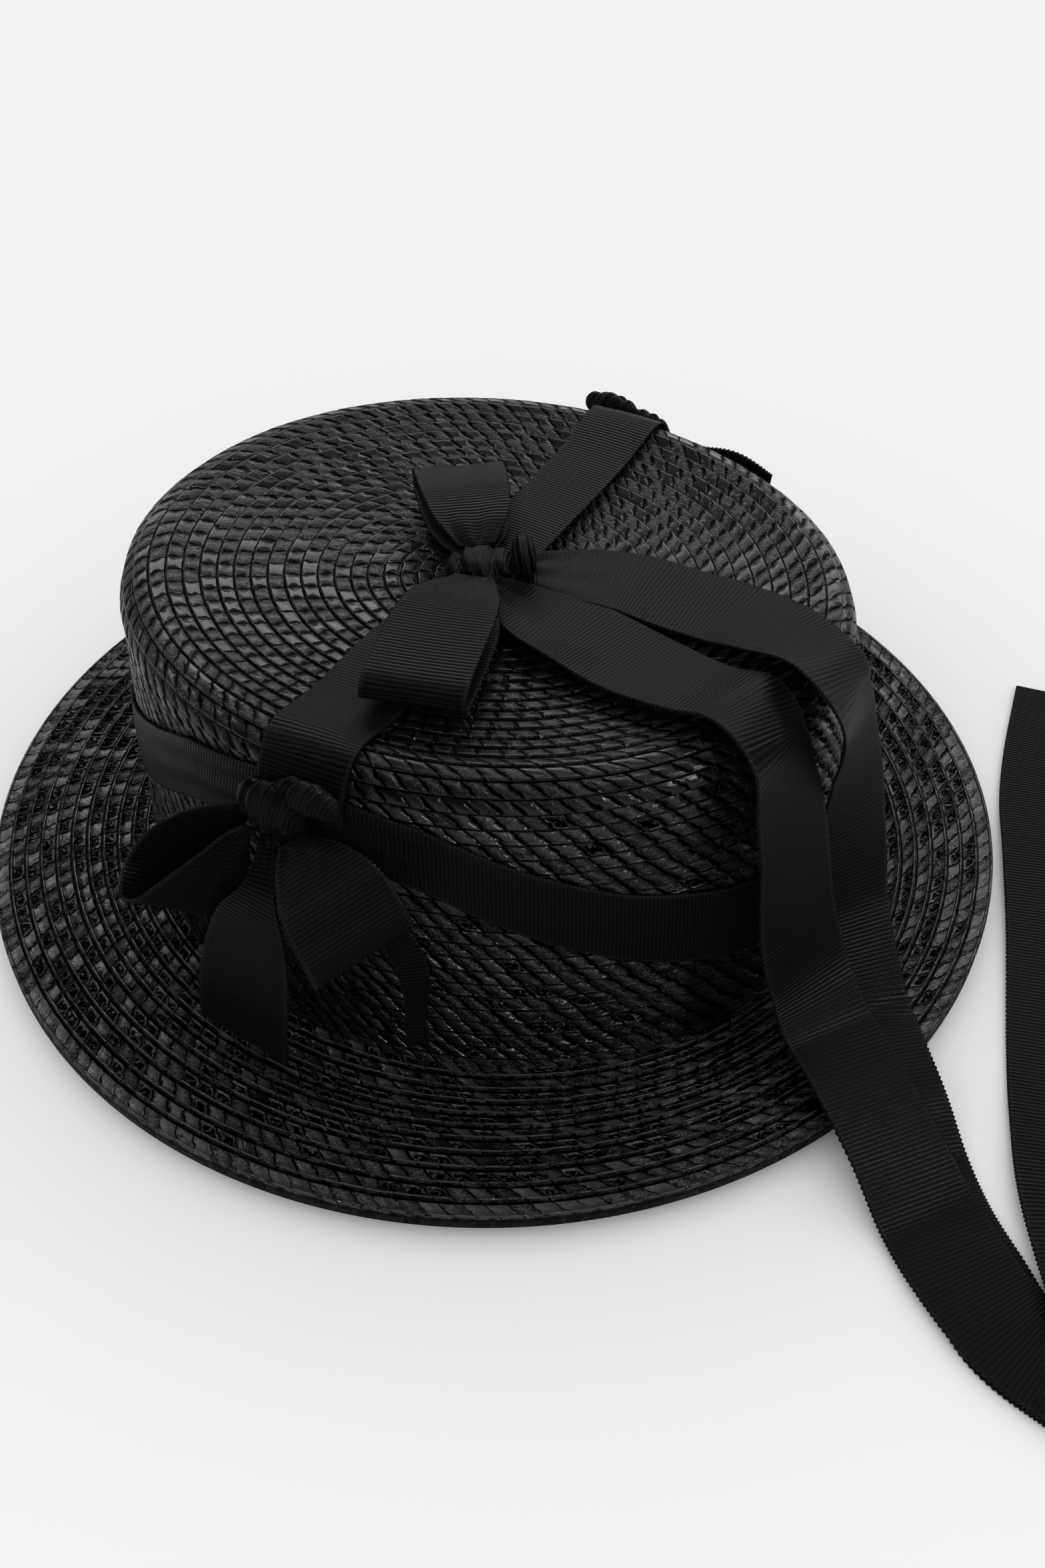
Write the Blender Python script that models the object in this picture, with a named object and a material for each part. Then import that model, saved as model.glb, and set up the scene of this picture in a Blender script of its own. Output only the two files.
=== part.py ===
"""Straw boater with ribbon trim, standing on the rim of its head opening, in metres.

Every piece is placed on one description of the hat's outer surface. A place on it is an
angle round the crown and a reach: 0 to 1 from the middle of the tip to its rim, 1 to 2
over the rounded rim and down the wall, 2 to 3 across the brim, and past 3 on the floor.
"""

import math

import bmesh
import bpy
from mathutils import Quaternion, Vector

# Straw body
HEAD_LONG = 0.097
HEAD_SHORT = 0.0866
HEAD_TURN = math.radians(-26)
CROWN_SHIFT = Vector((-0.0016, -0.0045, 0))
CROWN_HEIGHT = 0.091
CROWN_TAPER = 0.004
RIM_ROUND = 0.007
TIP_DISH = 0.006
STRAW_WALL = 0.002
BRIM_RADIUS = 0.140
BRIM_RISE = 0.0055
BRIM_DROP = 0.001
BRIM_EDGE = 0.003
SEAT_WIDTH = 0.005
BRIM_LEVEL_FROM = 0.7
BRIM_THICK_FROM = 0.8

# Ribbon
RIBBON_WIDTH = 0.025
RIBBON_THICK = 0.001
SEAM = 0.0003
LAYER = RIBBON_THICK + SEAM
FIRST_LAYER = SEAM + RIBBON_THICK / 2
BOW_ANGLE = 240
KNOT_SIDE = 0.0088
KNOT_DOWN = 0.0068
KNOT_OUT = 0.0040

RIBBON_FALL = 0.16

# Steps that share out the curves
AROUND = 64
ALONG = 0.006


def oval(long_half, short_half, angle):
    """Distance from the middle to an oval's edge in the direction of angle."""
    turned = angle - HEAD_TURN
    across = short_half * math.cos(turned)
    along = long_half * math.sin(turned)
    return long_half * short_half / math.hypot(across, along)


def around_crown(angle, grow, height):
    """Point on the crown's oval, grown by some metres from the rim's widest line."""
    reach = oval(HEAD_LONG - CROWN_TAPER + grow, HEAD_SHORT - CROWN_TAPER + grow, angle)
    return CROWN_SHIFT + Vector((reach * math.cos(angle), reach * math.sin(angle), height))


def brim_height(share, top=True):
    """Height of the brim's top or underside, from its seat on the floor to its raised edge."""
    seat = SEAT_WIDTH / (BRIM_RADIUS - HEAD_SHORT)
    ramp = min(max((share - seat) / (BRIM_LEVEL_FROM - seat), 0), 1)
    under = BRIM_RISE * ramp * ramp * (3 - 2 * ramp)
    under -= BRIM_DROP * max(0, (share - BRIM_LEVEL_FROM) / (1 - BRIM_LEVEL_FROM)) ** 2
    swell = max(0, (share - BRIM_THICK_FROM) / (1 - BRIM_THICK_FROM))
    thick = STRAW_WALL + (BRIM_EDGE - STRAW_WALL) * swell
    return under + (thick if top else 0)


def surface(angle, reach):
    """Point on the outside of the hat, or on the floor past the brim's edge."""
    if reach <= 1:
        flat = reach * oval(
            HEAD_LONG - CROWN_TAPER - RIM_ROUND, HEAD_SHORT - CROWN_TAPER - RIM_ROUND, angle
        )
        height = CROWN_HEIGHT - TIP_DISH * (1 - reach**3)
        return CROWN_SHIFT + Vector((flat * math.cos(angle), flat * math.sin(angle), height))
    arc = RIM_ROUND * math.pi / 2
    wall = CROWN_HEIGHT - RIM_ROUND
    if reach <= 2:
        run = (reach - 1) * (arc + wall)
        if run < arc:
            bend = run / RIM_ROUND
            grow = RIM_ROUND * (math.sin(bend) - 1)
            return around_crown(angle, grow, CROWN_HEIGHT - RIM_ROUND * (1 - math.cos(bend)))
        down = (run - arc) / wall
        return around_crown(angle, CROWN_TAPER * down, wall * (1 - down))
    if reach <= 3:
        share = reach - 2
        inner = around_crown(angle, CROWN_TAPER, 0)
        outer = Vector((BRIM_RADIUS * math.cos(angle), BRIM_RADIUS * math.sin(angle), 0))
        place = inner.lerp(outer, share)
        place.z = brim_height(share)
        return place
    out = BRIM_RADIUS * (reach - 2)
    fall = min((reach - 3) / RIBBON_FALL, 1)
    height = brim_height(1) * (1 - fall * fall * (3 - 2 * fall))
    return Vector((out * math.cos(angle), out * math.sin(angle), height))


def outward(angle, reach):
    """Unit normal of that surface, pointing away from the straw or up from the floor."""
    if reach < 0.02 or reach > 3:
        return Vector((0, 0, 1))
    step = 0.01
    low = reach - step if reach <= 2 or reach > 2 + step else 2
    high = reach + step if reach > 2 or reach + step <= 2 else 2
    down = surface(angle, min(high, 3)) - surface(angle, low)
    side = surface(angle + step, reach) - surface(angle - step, reach)
    return down.cross(side).normalized()


def wall_reach(height):
    """The reach at which the rim or the wall has a height."""
    arc = RIM_ROUND * math.pi / 2
    wall = CROWN_HEIGHT - RIM_ROUND
    if height > wall:
        return 1 + RIM_ROUND * math.acos(1 - (CROWN_HEIGHT - height) / RIM_ROUND) / (arc + wall)
    return 1 + (arc + wall - height) / (arc + wall)


def material(name, colour, roughness):
    """Plain dielectric material with one colour."""
    made = bpy.data.materials.new(name)
    made.use_nodes = True
    shader = made.node_tree.nodes["Principled BSDF"]
    shader.inputs["Base Color"].default_value = (*colour, 1)
    shader.inputs["Roughness"].default_value = roughness
    shader.inputs["Metallic"].default_value = 0
    return made


def loft(name, rings, finish, closed):
    """Solid through rings of points. Closed rings form a tube round a hollow, open ones get caps."""
    shape = bmesh.new()
    grid = [[shape.verts.new(point) for point in ring] for ring in rings]
    following = zip(grid, grid[1:] + grid[:1]) if closed else zip(grid, grid[1:])
    for here, there in following:
        for k in range(len(here)):
            n = (k + 1) % len(here)
            shape.faces.new((here[k], here[n], there[n], there[k]))
    if not closed:
        shape.faces.new(grid[0][::-1])
        shape.faces.new(grid[-1])
    bmesh.ops.recalc_face_normals(shape, faces=shape.faces)
    if shape.calc_volume(signed=True) < 0:
        bmesh.ops.reverse_faces(shape, faces=shape.faces)
    mesh = bpy.data.meshes.new(name)
    shape.to_mesh(mesh)
    shape.free()
    mesh.shade_smooth()
    mesh.set_sharp_from_angle(angle=math.radians(40))
    mesh.materials.append(finish)
    piece = bpy.data.objects.new(name, mesh)
    bpy.context.collection.objects.link(piece)
    piece.parent = hat
    return piece


def smooth(points, share):
    """Place on a smooth curve through points, at a share of its length in points."""
    at = share * (len(points) - 1)
    k = min(int(at), len(points) - 2)
    t = at - k
    before, here = points[max(k - 1, 0)], points[k]
    there, after = points[k + 1], points[min(k + 2, len(points) - 1)]
    return 0.5 * (
        2 * here
        + (there - before) * t
        + (2 * before - 5 * here + 4 * there - after) * t**2
        + (3 * here - before - 3 * there + after) * t**3
    )


def strip(name, stations, finish):
    """Ribbon solid through stations of centre, half width across and normal."""
    rings = []
    for centre, half, normal in stations:
        lift = normal * (RIBBON_THICK / 2)
        rings.append(
            (centre - half + lift, centre + lift, centre + half + lift,
             centre + half - lift, centre - lift, centre - half - lift)
        )
    return loft(name, rings, finish, closed=False)


def stations_between(places, acrosses, spreads):
    """Stations a few millimetres apart along a smooth curve through places."""
    length = sum((b - a).length for a, b in zip(places, places[1:]))
    count = max(len(places), round(length / ALONG))
    made = []
    for k in range(count + 1):
        share = k / count
        centre = smooth(places, share)
        run = smooth(places, min(share + 0.01, 1)) - smooth(places, max(share - 0.01, 0))
        across = smooth(acrosses, share)
        across -= run * (across.dot(run) / run.length_squared)
        across.normalize()
        normal = run.cross(across).normalized()
        made.append((centre, across * (RIBBON_WIDTH / 2 * smooth(spreads, share)), normal))
    return made


def drape(rows):
    """Stations of a ribbon that lies or hangs on the hat or floor.

    Rows: angle in degrees, reach, lift off the surface in layers, width as a share of
    the ribbon's, and turn in degrees about its own length. Where it hangs free it faces
    halfway between what it left and what it lands on.
    """
    places, normals, spreads = [], [], []
    for degrees, reach, lift, spread, _ in rows:
        angle = math.radians(degrees)
        normal = outward(angle, reach)
        places.append(surface(angle, reach) + normal * (FIRST_LAYER + LAYER * lift))
        normals.append(normal)
        spreads.append(spread)
    acrosses = []
    for k, row in enumerate(rows):
        before, after = max(k - 1, 0), min(k + 1, len(rows) - 1)
        facing = normals[before] + normals[k] + normals[after]
        run = places[after] - places[before]
        turn = Quaternion(run.normalized(), math.radians(row[4]))
        acrosses.append(turn @ facing.cross(run).normalized())
    return stations_between(places, acrosses, spreads)


def spring(knot, right, down, off, rows):
    """Stations of a ribbon that springs from a knot.

    Rows: from the knot's middle, right in ribbon widths, down as a share of its height
    above the floor and off in ribbon widths, then width as a share of the ribbon's, and
    how its cross direction leans from right towards down and swings back to the straw.
    """
    places, acrosses, spreads = [], [], []
    for to_right, to_down, to_off, spread, lean, swing in rows:
        sideways = (right * to_right + off * to_off) * RIBBON_WIDTH
        places.append(knot + sideways + down * (to_down * knot.z))
        lean, swing = math.radians(lean), math.radians(swing)
        flat = right * math.cos(lean) + down * math.sin(lean)
        acrosses.append(flat * math.cos(swing) - off * math.sin(swing))
        spreads.append(spread)
    return stations_between(places, acrosses, spreads)


def loop(knot, heading, across, rows):
    """Stations of a ribbon that leaves a knot, folds and comes back to it.

    Rows: along and apart in ribbon widths, and width as a share of the ribbon's.
    """
    heading = heading.normalized()
    across = (across - heading * across.dot(heading)).normalized()
    apart_way = across.cross(heading)
    places = [knot + (heading * along + apart_way * apart) * RIBBON_WIDTH for along, apart, _ in rows]
    return stations_between(places, [across] * len(rows), [row[2] for row in rows])


def knot(name, middle, right, down, off):
    """Rounded lump of a ribbon knot, flatter towards what it is tied over."""
    rings = []
    for k in range(1, 8):
        polar = math.pi * k / 8
        ring = []
        for j in range(12):
            turn = math.tau * j / 12
            side = math.sin(polar)
            ring.append(
                middle
                - right * (KNOT_SIDE * math.cos(polar))
                + down * (KNOT_DOWN * side * math.cos(turn))
                + off * (KNOT_OUT * side * math.sin(turn))
            )
        rings.append(ring)
    return loft(name, rings, ribbon, closed=False)


for old in list(bpy.data.objects):
    bpy.data.objects.remove(old, do_unlink=True)
hat = bpy.data.objects.new("hat", None)
bpy.context.collection.objects.link(hat)
straw = material("black lacquered straw", (0.012, 0.012, 0.013), 0.22)
ribbon = material("black grosgrain", (0.009, 0.009, 0.010), 0.85)


def ring_of(point_at):
    """Closed ring of points, one for each step round the hat."""
    return [point_at(math.tau * k / AROUND) for k in range(AROUND)]


# The crown: a cap of straw, open below, whose inside follows its outside one wall in
def crown_inside(angle, share):
    """Point of the inside, from the middle of the tip down to the floor."""
    place = surface(angle, share)
    if share >= 2:
        return around_crown(angle, CROWN_TAPER - STRAW_WALL, 0)
    return place - outward(angle, share) * STRAW_WALL


TIP_REACHES = (0.03, 0.3, 0.6, 0.85, 1)
RIM_REACHES = tuple(wall_reach(CROWN_HEIGHT - RIM_ROUND * drop) for drop in (0.12, 0.4, 1))
WALL_REACHES = (1.4, 1.7, 2)
crown_reaches = TIP_REACHES + RIM_REACHES + WALL_REACHES
outside = [ring_of(lambda a, r=r: surface(a, r)) for r in crown_reaches]
inside = [ring_of(lambda a, r=r: crown_inside(a, r)) for r in reversed(crown_reaches)]
loft("crown", outside + inside, straw, closed=False)

# The brim: a round plate of straw that fits round the crown's base and rises to its edge
BRIM_SHARES = (0, SEAT_WIDTH / (BRIM_RADIUS - HEAD_SHORT), 0.25, 0.4, 0.55, BRIM_LEVEL_FROM, 0.85, 1)


def on_brim(angle, share, top):
    """Point on the brim's top or underside, clear of the crown by a seam."""
    place = surface(angle, 2 + share)
    inner = around_crown(angle, CROWN_TAPER + SEAM, 0)
    if share == 0:
        place = inner
    place.z = brim_height(share, top)
    return place


brim_top = [ring_of(lambda a, s=s: on_brim(a, s, True)) for s in BRIM_SHARES]
brim_under = [ring_of(lambda a, s=s: on_brim(a, s, False)) for s in reversed(BRIM_SHARES)]
loft("brim", brim_top + brim_under, straw, closed=True)

# The band: high on the wall at the two bows and low halfway between them
BAND_ROWS = (
    # degrees from a bow, height as a share of the crown's, width as a share of the ribbon's
    (0, 0.850, 0.62),
    (22, 0.765, 0.72),
    (37, 0.640, 0.78),
    (52, 0.520, 0.84),
    (71, 0.400, 0.92),
    (90, 0.350, 0.96),
)


def band_row(degrees):
    """Height and width of the band at an angle round the crown."""
    away = abs((degrees - BOW_ANGLE + 90) % 180 - 90)
    for near, far in zip(BAND_ROWS, BAND_ROWS[1:]):
        if away <= far[0]:
            share = (away - near[0]) / (far[0] - near[0])
            return [a + (b - a) * share for a, b in zip(near[1:], far[1:])]
    return BAND_ROWS[-1][1:]


def band_ring(k):
    """Cross-section of the band: out along its face and back along its lining."""
    degrees = 360 * k / AROUND
    height, spread = band_row(degrees)
    angle = math.radians(degrees)
    points = []
    for lift in (SEAM + RIBBON_THICK, SEAM):
        edge = [wall_reach(CROWN_HEIGHT * height + RIBBON_WIDTH * spread * s) for s in (-0.5, 0, 0.5)]
        face = [surface(angle, r) + outward(angle, r) * lift for r in edge]
        points += face if lift > SEAM else face[::-1]
    return points


loft("hat_band", [band_ring(k) for k in range(AROUND)], ribbon, closed=True)

# The strap: across the tip from one bow to the other, down over the band at both ends
STRAP_ROWS = (
    # degrees, reach, lift, width, turn
    (243, 1.2, 1.1, 0.8, 0),
    (243, 1.12, 1.2, 0.86, 0),
    (243, 1.06, 0.6, 0.88, 0),
    (242.6, 1.0, 0.2, 0.9, 0),
    (242.5, 0.8, 0.4, 0.9, 0),
    (242, 0.5, 1.2, 0.9, 0),
    (244, 0.2, 1.0, 0.8, 0),
    (62, 0.1, 1.0, 0.76, 0),
    (60, 0.4, 1.4, 0.76, 0),
    (60, 0.75, 0.5, 0.78, 0),
    (60, 1.0, 0.2, 0.82, 0),
    (60, 1.06, 0.6, 0.82, 0),
    (60, 1.12, 1.2, 0.8, 0),
    (60, 1.2, 1.1, 0.8, 0),
)
strip("crown_strap", drape(STRAP_ROWS), ribbon)

# The bow in the middle of the tip
up = Vector((0, 0, 1))
top_knot = surface(math.radians(-94), 0.07) + up * (FIRST_LAYER + 2 * LAYER + KNOT_OUT)
top_right = Vector((1, 0.1, 0)).normalized()
top_down = up.cross(top_right) * -1
knot("top_bow_knot", top_knot, top_right, top_down, up)

TOP_LOOP_BACK_ROWS = (
    # along, apart, width
    (0.285, 0.06, 0.36),
    (0.62, 0.17, 0.72),
    (1.05, 0.22, 0.9),
    (1.6, 0.14, 0.95),
    (1.8, 0.02, 0.95),
    (1.62, -0.1, 0.95),
    (1.05, -0.1, 0.88),
    (0.62, -0.08, 0.7),
    (0.285, -0.05, 0.36),
)
TOP_LOOP_FRONT_ROWS = (
    (0.295, 0.06, 0.36),
    (0.62, 0.16, 0.66),
    (1.1, 0.22, 0.94),
    (2.05, 0.14, 0.98),
    (2.28, 0.0, 0.98),
    (2.1, -0.12, 0.98),
    (1.1, -0.1, 0.92),
    (0.62, -0.08, 0.66),
    (0.295, -0.05, 0.36),
)
back_way = Vector((-0.16, 1, 0))
strip("top_bow_loop_back", loop(top_knot, back_way, Vector((1, 0, 0)), TOP_LOOP_BACK_ROWS), ribbon)
front_way = Vector((-0.25, -0.97, 0.06))
strip("top_bow_loop_front", loop(top_knot, front_way, Vector((-1, 0, 0)), TOP_LOOP_FRONT_ROWS), ribbon)

# The long tails: from the middle bow over the rim, down off the wall and along the floor
TIE_TAIL_FRONT_ROWS = (
    # degrees, reach, lift, width, turn
    (-64, 0.23, 3.0, 0.40, 0),
    (-58, 0.33, 3.2, 0.70, 0),
    (-52, 0.46, 3.0, 0.95, 0),
    (-49, 0.66, 2.6, 1.00, 0),
    (-46.5, 0.86, 2.4, 1.00, -6),
    (-46, 1.00, 2.6, 1.00, -10),
    (-46.7, 1.08, 3.6, 1.00, -20),
    (-46.3, 1.18, 4.8, 1.00, -13),
    (-45.1, 1.35, 6.2, 1.00, -7),
    (-45.4, 1.58, 9.2, 1.00, 0),
    (-45.2, 1.74, 13.2, 1.00, 2),
    (-48.1, 2.63, 6.6, 1.00, 0),
    (-50.2, 2.89, 4.2, 1.00, -8),
    (-52.5, 3.10, 4.0, 1.00, -6),
    (-54, 3.21, 1.5, 1.00, 0),
    (-55.2, 3.31, 1.2, 1.00, 0),
    (-55.7, 3.42, 1.2, 1.00, 0),
    (-55, 3.52, 1.2, 1.00, 0),
    (-54.1, 3.60, 1.2, 1.00, 0),
)
TIE_END_ROWS = (
    (-50.3, 3.49, 3.2, 1.00, 0),
    (-45.2, 3.35, 2.2, 1.00, 0),
    (-39.3, 3.26, 0.8, 1.00, 0),
    (-32, 3.19, 0.1, 1.00, 0),
    (-19.2, 3.13, 0.1, 1.00, 0),
    (-8, 3.12, 0.1, 1.00, 0),
    (0, 3.14, 0.1, 1.00, 0),
    (7.8, 3.20, 0.1, 1.00, 0),
    (15.9, 3.31, 0.1, 1.00, 0),
)
TIE_TAIL_REAR_ROWS = (
    (-28, 0.115, 4.0, 0.30, 0),
    (-17, 0.19, 3.4, 0.44, 0),
    (-14, 0.31, 3.2, 0.75, 0),
    (-15, 0.45, 3.0, 0.95, 0),
    (-18, 0.58, 2.2, 1.00, 0),
    (-21, 0.75, 1.6, 1.00, 0),
    (-25, 0.90, 2.0, 1.00, -3),
    (-29.5, 1.035, 2.6, 1.00, -8),
    (-31.6, 1.10, 5.0, 1.00, -12),
    (-31, 1.24, 5.4, 1.00, 0),
    (-30.6, 1.40, 6.0, 1.00, 12),
    (-32, 1.52, 7.2, 1.00, 20),
    (-34.6, 1.71, 10.4, 1.00, 18),
    (-40.4, 2.60, 3.2, 1.00, 6),
    (-44.2, 2.78, 0.9, 1.00, -1),
    (-48.5, 3.04, 0.8, 1.00, -5),
    (-51, 3.13, 1.0, 1.00, -5),
    (-53.2, 3.22, 0.3, 1.00, 0),
    (-54.6, 3.32, 0.1, 1.00, 0),
    (-55.7, 3.42, 0.1, 1.00, 0),
    (-55, 3.52, 0.1, 1.00, 0),
    (-54.1, 3.60, 0.1, 1.00, 0),
    (-52.6, 3.74, 0.1, 1.00, 0),
    (-51.2, 3.92, 0.1, 1.00, 0),
)
FOLD_BEND = 0.0014
FOLD_RUN = 0.016


def fold_over(last, before, towards):
    """Stations of a ribbon that folds flat over itself and turns towards a place."""
    centre, half, normal = last
    going = (centre - before[0]).normalized()
    start = centre + going * FOLD_RUN
    back = towards - start
    back.z = 0
    crease = (going + back.normalized()).normalized()
    outer = (going - crease * going.dot(crease)).normalized()
    skewed = crease * (RIBBON_WIDTH / 2 / abs(crease.dot(half.normalized())))
    drift = going.dot(crease) / going.dot(outer)
    made = []
    for k in range(7):
        bend = math.pi * k / 6
        axis = start + crease * (drift * FOLD_BEND * bend)
        place = axis + outer * (FOLD_BEND * math.sin(bend))
        place.z += FOLD_BEND * (1 - math.cos(bend))
        made.append((place, skewed, normal * math.cos(bend) - outer * math.sin(bend)))
    return made


strip("tie_tail_rear", drape(TIE_TAIL_REAR_ROWS), ribbon)
going_out = drape(TIE_TAIL_FRONT_ROWS)
coming_back = drape(TIE_END_ROWS)
fold = fold_over(going_out[-1], going_out[-2], coming_back[0][0])
turned_over = [(centre, -half, -normal) for centre, half, normal in coming_back]
strip("tie_tail_front", going_out + fold + turned_over, ribbon)

# The bows on the two sides, the second the first turned half round the crown
BOW_HEIGHT = 0.885
SIDE_LOOP_LEFT_ROWS = (
    # along, apart, width
    (0.29, 0.2, 0.2),
    (0.42, 0.28, 0.38),
    (0.66, 0.35, 0.7),
    (1.0, 0.37, 0.92),
    (1.34, 0.28, 0.98),
    (1.54, 0.05, 1.0),
    (1.4, -0.13, 1.0),
    (1.08, -0.16, 0.92),
    (0.72, -0.09, 0.6),
    (0.47, 0.0, 0.3),
    (0.305, -0.02, 0.18),
)
SIDE_LOOP_RIGHT_ROWS = (
    (0.345, 0.05, 0.24),
    (0.6, 0.13, 0.6),
    (0.95, 0.18, 0.92),
    (1.32, 0.18, 1.0),
    (1.54, 0.06, 1.0),
    (1.5, -0.12, 1.0),
    (1.26, -0.28, 1.0),
    (0.92, -0.32, 0.94),
    (0.6, -0.22, 0.66),
    (0.345, -0.07, 0.24),
)
SIDE_TAIL_LEFT_ROWS = (
    # right, down, off, width, lean, swing
    (-0.02, 0.09, 0.06, 0.14, 10, 0),
    (0.05, 0.148, 0.25, 0.2, 10, 0),
    (0.07, 0.216, 0.42, 0.36, 8, 0),
    (0.01, 0.34, 0.54, 0.76, 5, 0),
    (-0.07, 0.525, 0.62, 0.96, 2, 0),
    (-0.24, 0.735, 0.58, 1.0, 0, 0),
    (-0.36, 0.902, 0.5, 1.0, 0, 0),
)
BACK_TAIL_LEFT_ROWS = (
    (-0.42, 0.006, -0.15, 0.4, 90, 0),
    (-0.8, 0.009, -0.19, 0.75, 90, 0),
    (-1.3, 0.019, -0.31, 0.95, 88, 0),
    (-1.8, 0.043, -0.5, 1.0, 84, 0),
)
SIDE_TAIL_RIGHT_ROWS = (
    (0.08, 0.068, -0.13, 0.34, -10, 0),
    (0.12, 0.148, -0.17, 0.38, -15, 5),
    (0.4, 0.253, -0.2, 0.45, -30, 10),
    (0.8, 0.34, -0.22, 0.46, -35, 15),
    (1.12, 0.448, -0.22, 0.44, -25, 25),
    (1.22, 0.572, -0.22, 0.4, -15, 30),
    (1.18, 0.705, -0.22, 0.34, 0, 30),
    (1.24, 0.834, -0.16, 0.3, 10, 30),
)
LOOP_LEFT_WAYS = ((-0.55, 0.72, 0.42), (0.41, 0.55, -0.73))
LOOP_RIGHT_WAYS = ((0.735, 0.636, 0.235), (0.50, -0.24, -0.83))
for side, turn, tail_left_rows in (
    ("front", 0, SIDE_TAIL_LEFT_ROWS),
    ("back", 180, BACK_TAIL_LEFT_ROWS),
):
    bow_angle = math.radians(BOW_ANGLE + turn)
    reach = wall_reach(CROWN_HEIGHT * BOW_HEIGHT)
    off = outward(bow_angle, reach)
    middle = surface(bow_angle, reach) + off * (FIRST_LAYER + 2 * LAYER + SEAM + KNOT_OUT)
    right = Vector((-math.sin(bow_angle), math.cos(bow_angle), 0))
    knot(f"{side}_bow_knot", middle, right, -up, off)
    for part, ways, rows in (
        ("loop_left", LOOP_LEFT_WAYS, SIDE_LOOP_LEFT_ROWS),
        ("loop_right", LOOP_RIGHT_WAYS, SIDE_LOOP_RIGHT_ROWS),
    ):
        heading, across = (right * way[0] - up * way[1] + off * way[2] for way in ways)
        strip(f"{side}_bow_{part}", loop(middle, heading, across, rows), ribbon)
    for part, rows in (("tail_left", tail_left_rows), ("tail_right", SIDE_TAIL_RIGHT_ROWS)):
        strip(f"{side}_bow_{part}", spring(middle, right, -up, off, rows), ribbon)

# The model's origin is under the middle of the box around everything
corners = [piece.data.vertices for piece in hat.children]
spots = [vertex.co for vertices in corners for vertex in vertices]
middle_x = (min(spot.x for spot in spots) + max(spot.x for spot in spots)) / 2
middle_y = (min(spot.y for spot in spots) + max(spot.y for spot in spots)) / 2
hat.location = (-middle_x, -middle_y, 0)
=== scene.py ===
"""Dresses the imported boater: plaited straw crown and brim, grosgrain band, strap, bows and tails."""

import math

import bmesh
import bpy
import numpy as np
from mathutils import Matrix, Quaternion, Vector


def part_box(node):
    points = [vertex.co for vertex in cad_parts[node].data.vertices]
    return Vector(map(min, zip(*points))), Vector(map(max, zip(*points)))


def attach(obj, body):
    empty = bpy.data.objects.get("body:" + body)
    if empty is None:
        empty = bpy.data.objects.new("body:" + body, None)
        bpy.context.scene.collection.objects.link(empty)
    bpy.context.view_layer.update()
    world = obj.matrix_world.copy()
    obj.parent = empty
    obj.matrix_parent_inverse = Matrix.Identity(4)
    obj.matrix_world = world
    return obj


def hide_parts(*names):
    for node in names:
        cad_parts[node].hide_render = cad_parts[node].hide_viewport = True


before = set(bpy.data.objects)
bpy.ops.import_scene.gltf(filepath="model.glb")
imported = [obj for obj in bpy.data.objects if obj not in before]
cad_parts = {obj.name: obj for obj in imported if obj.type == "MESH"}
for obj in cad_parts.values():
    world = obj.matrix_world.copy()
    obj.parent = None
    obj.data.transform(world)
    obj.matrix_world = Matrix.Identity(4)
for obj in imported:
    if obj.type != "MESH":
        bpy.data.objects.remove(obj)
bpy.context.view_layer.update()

# Crown tip: straw plait sewn round and round in an oval, from the middle out over the rounded rim.
# Each row laps the one inside it, so its outer edge stands up as a lip, and the plait's
# strands show as slanting lozenges. The whole hat is dipped in black lacquer.
HEAD_LONG = 0.097
HEAD_SHORT = 0.0866
HEAD_TURN = math.radians(-26)
CROWN_SHIFT = np.array((-0.0016, -0.0045, 0.0))
CROWN_HEIGHT = 0.091
CROWN_TAPER = 0.004
RIM_ROUND = 0.007
TIP_DISH = 0.006
STRAW_WALL = 0.002
BRIM_RADIUS = 0.140
BRIM_RISE = 0.0055
BRIM_DROP = 0.001
BRIM_EDGE = 0.003
SEAT_WIDTH = 0.005
BRIM_LEVEL_FROM = 0.7
BRIM_THICK_FROM = 0.8
RIBBON_FALL = 0.16
brim_low, brim_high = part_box("brim")
MIDDLE = np.array(((brim_low.x + brim_high.x) / 2, (brim_low.y + brim_high.y) / 2, 0.0))
RIM_RUN = RIM_ROUND * math.pi / 2
WALL_RUN = CROWN_HEIGHT - RIM_ROUND
SEAT_SHARE = SEAT_WIDTH / (BRIM_RADIUS - HEAD_SHORT)
WELD = 0.000002


def around_crown(angle, grow, height):
    """Places on the crown's oval, grown by some metres from its rim."""
    long_half = HEAD_LONG - CROWN_TAPER + grow
    short_half = HEAD_SHORT - CROWN_TAPER + grow
    turned = angle - HEAD_TURN
    reach = long_half * short_half / np.hypot(short_half * np.cos(turned), long_half * np.sin(turned))
    return CROWN_SHIFT + np.stack((reach * np.cos(angle), reach * np.sin(angle), height), -1)


def brim_height(share, top=1.0):
    """Height of the brim's top, or of its underside where top is 0."""
    ramp = np.clip((share - SEAT_SHARE) / (BRIM_LEVEL_FROM - SEAT_SHARE), 0, 1)
    under = BRIM_RISE * ramp**2 * (3 - 2 * ramp)
    under = under - BRIM_DROP * np.clip((share - BRIM_LEVEL_FROM) / (1 - BRIM_LEVEL_FROM), 0, None) ** 2
    swell = np.clip((share - BRIM_THICK_FROM) / (1 - BRIM_THICK_FROM), 0, None)
    return under + top * (STRAW_WALL + (BRIM_EDGE - STRAW_WALL) * swell)


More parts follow.
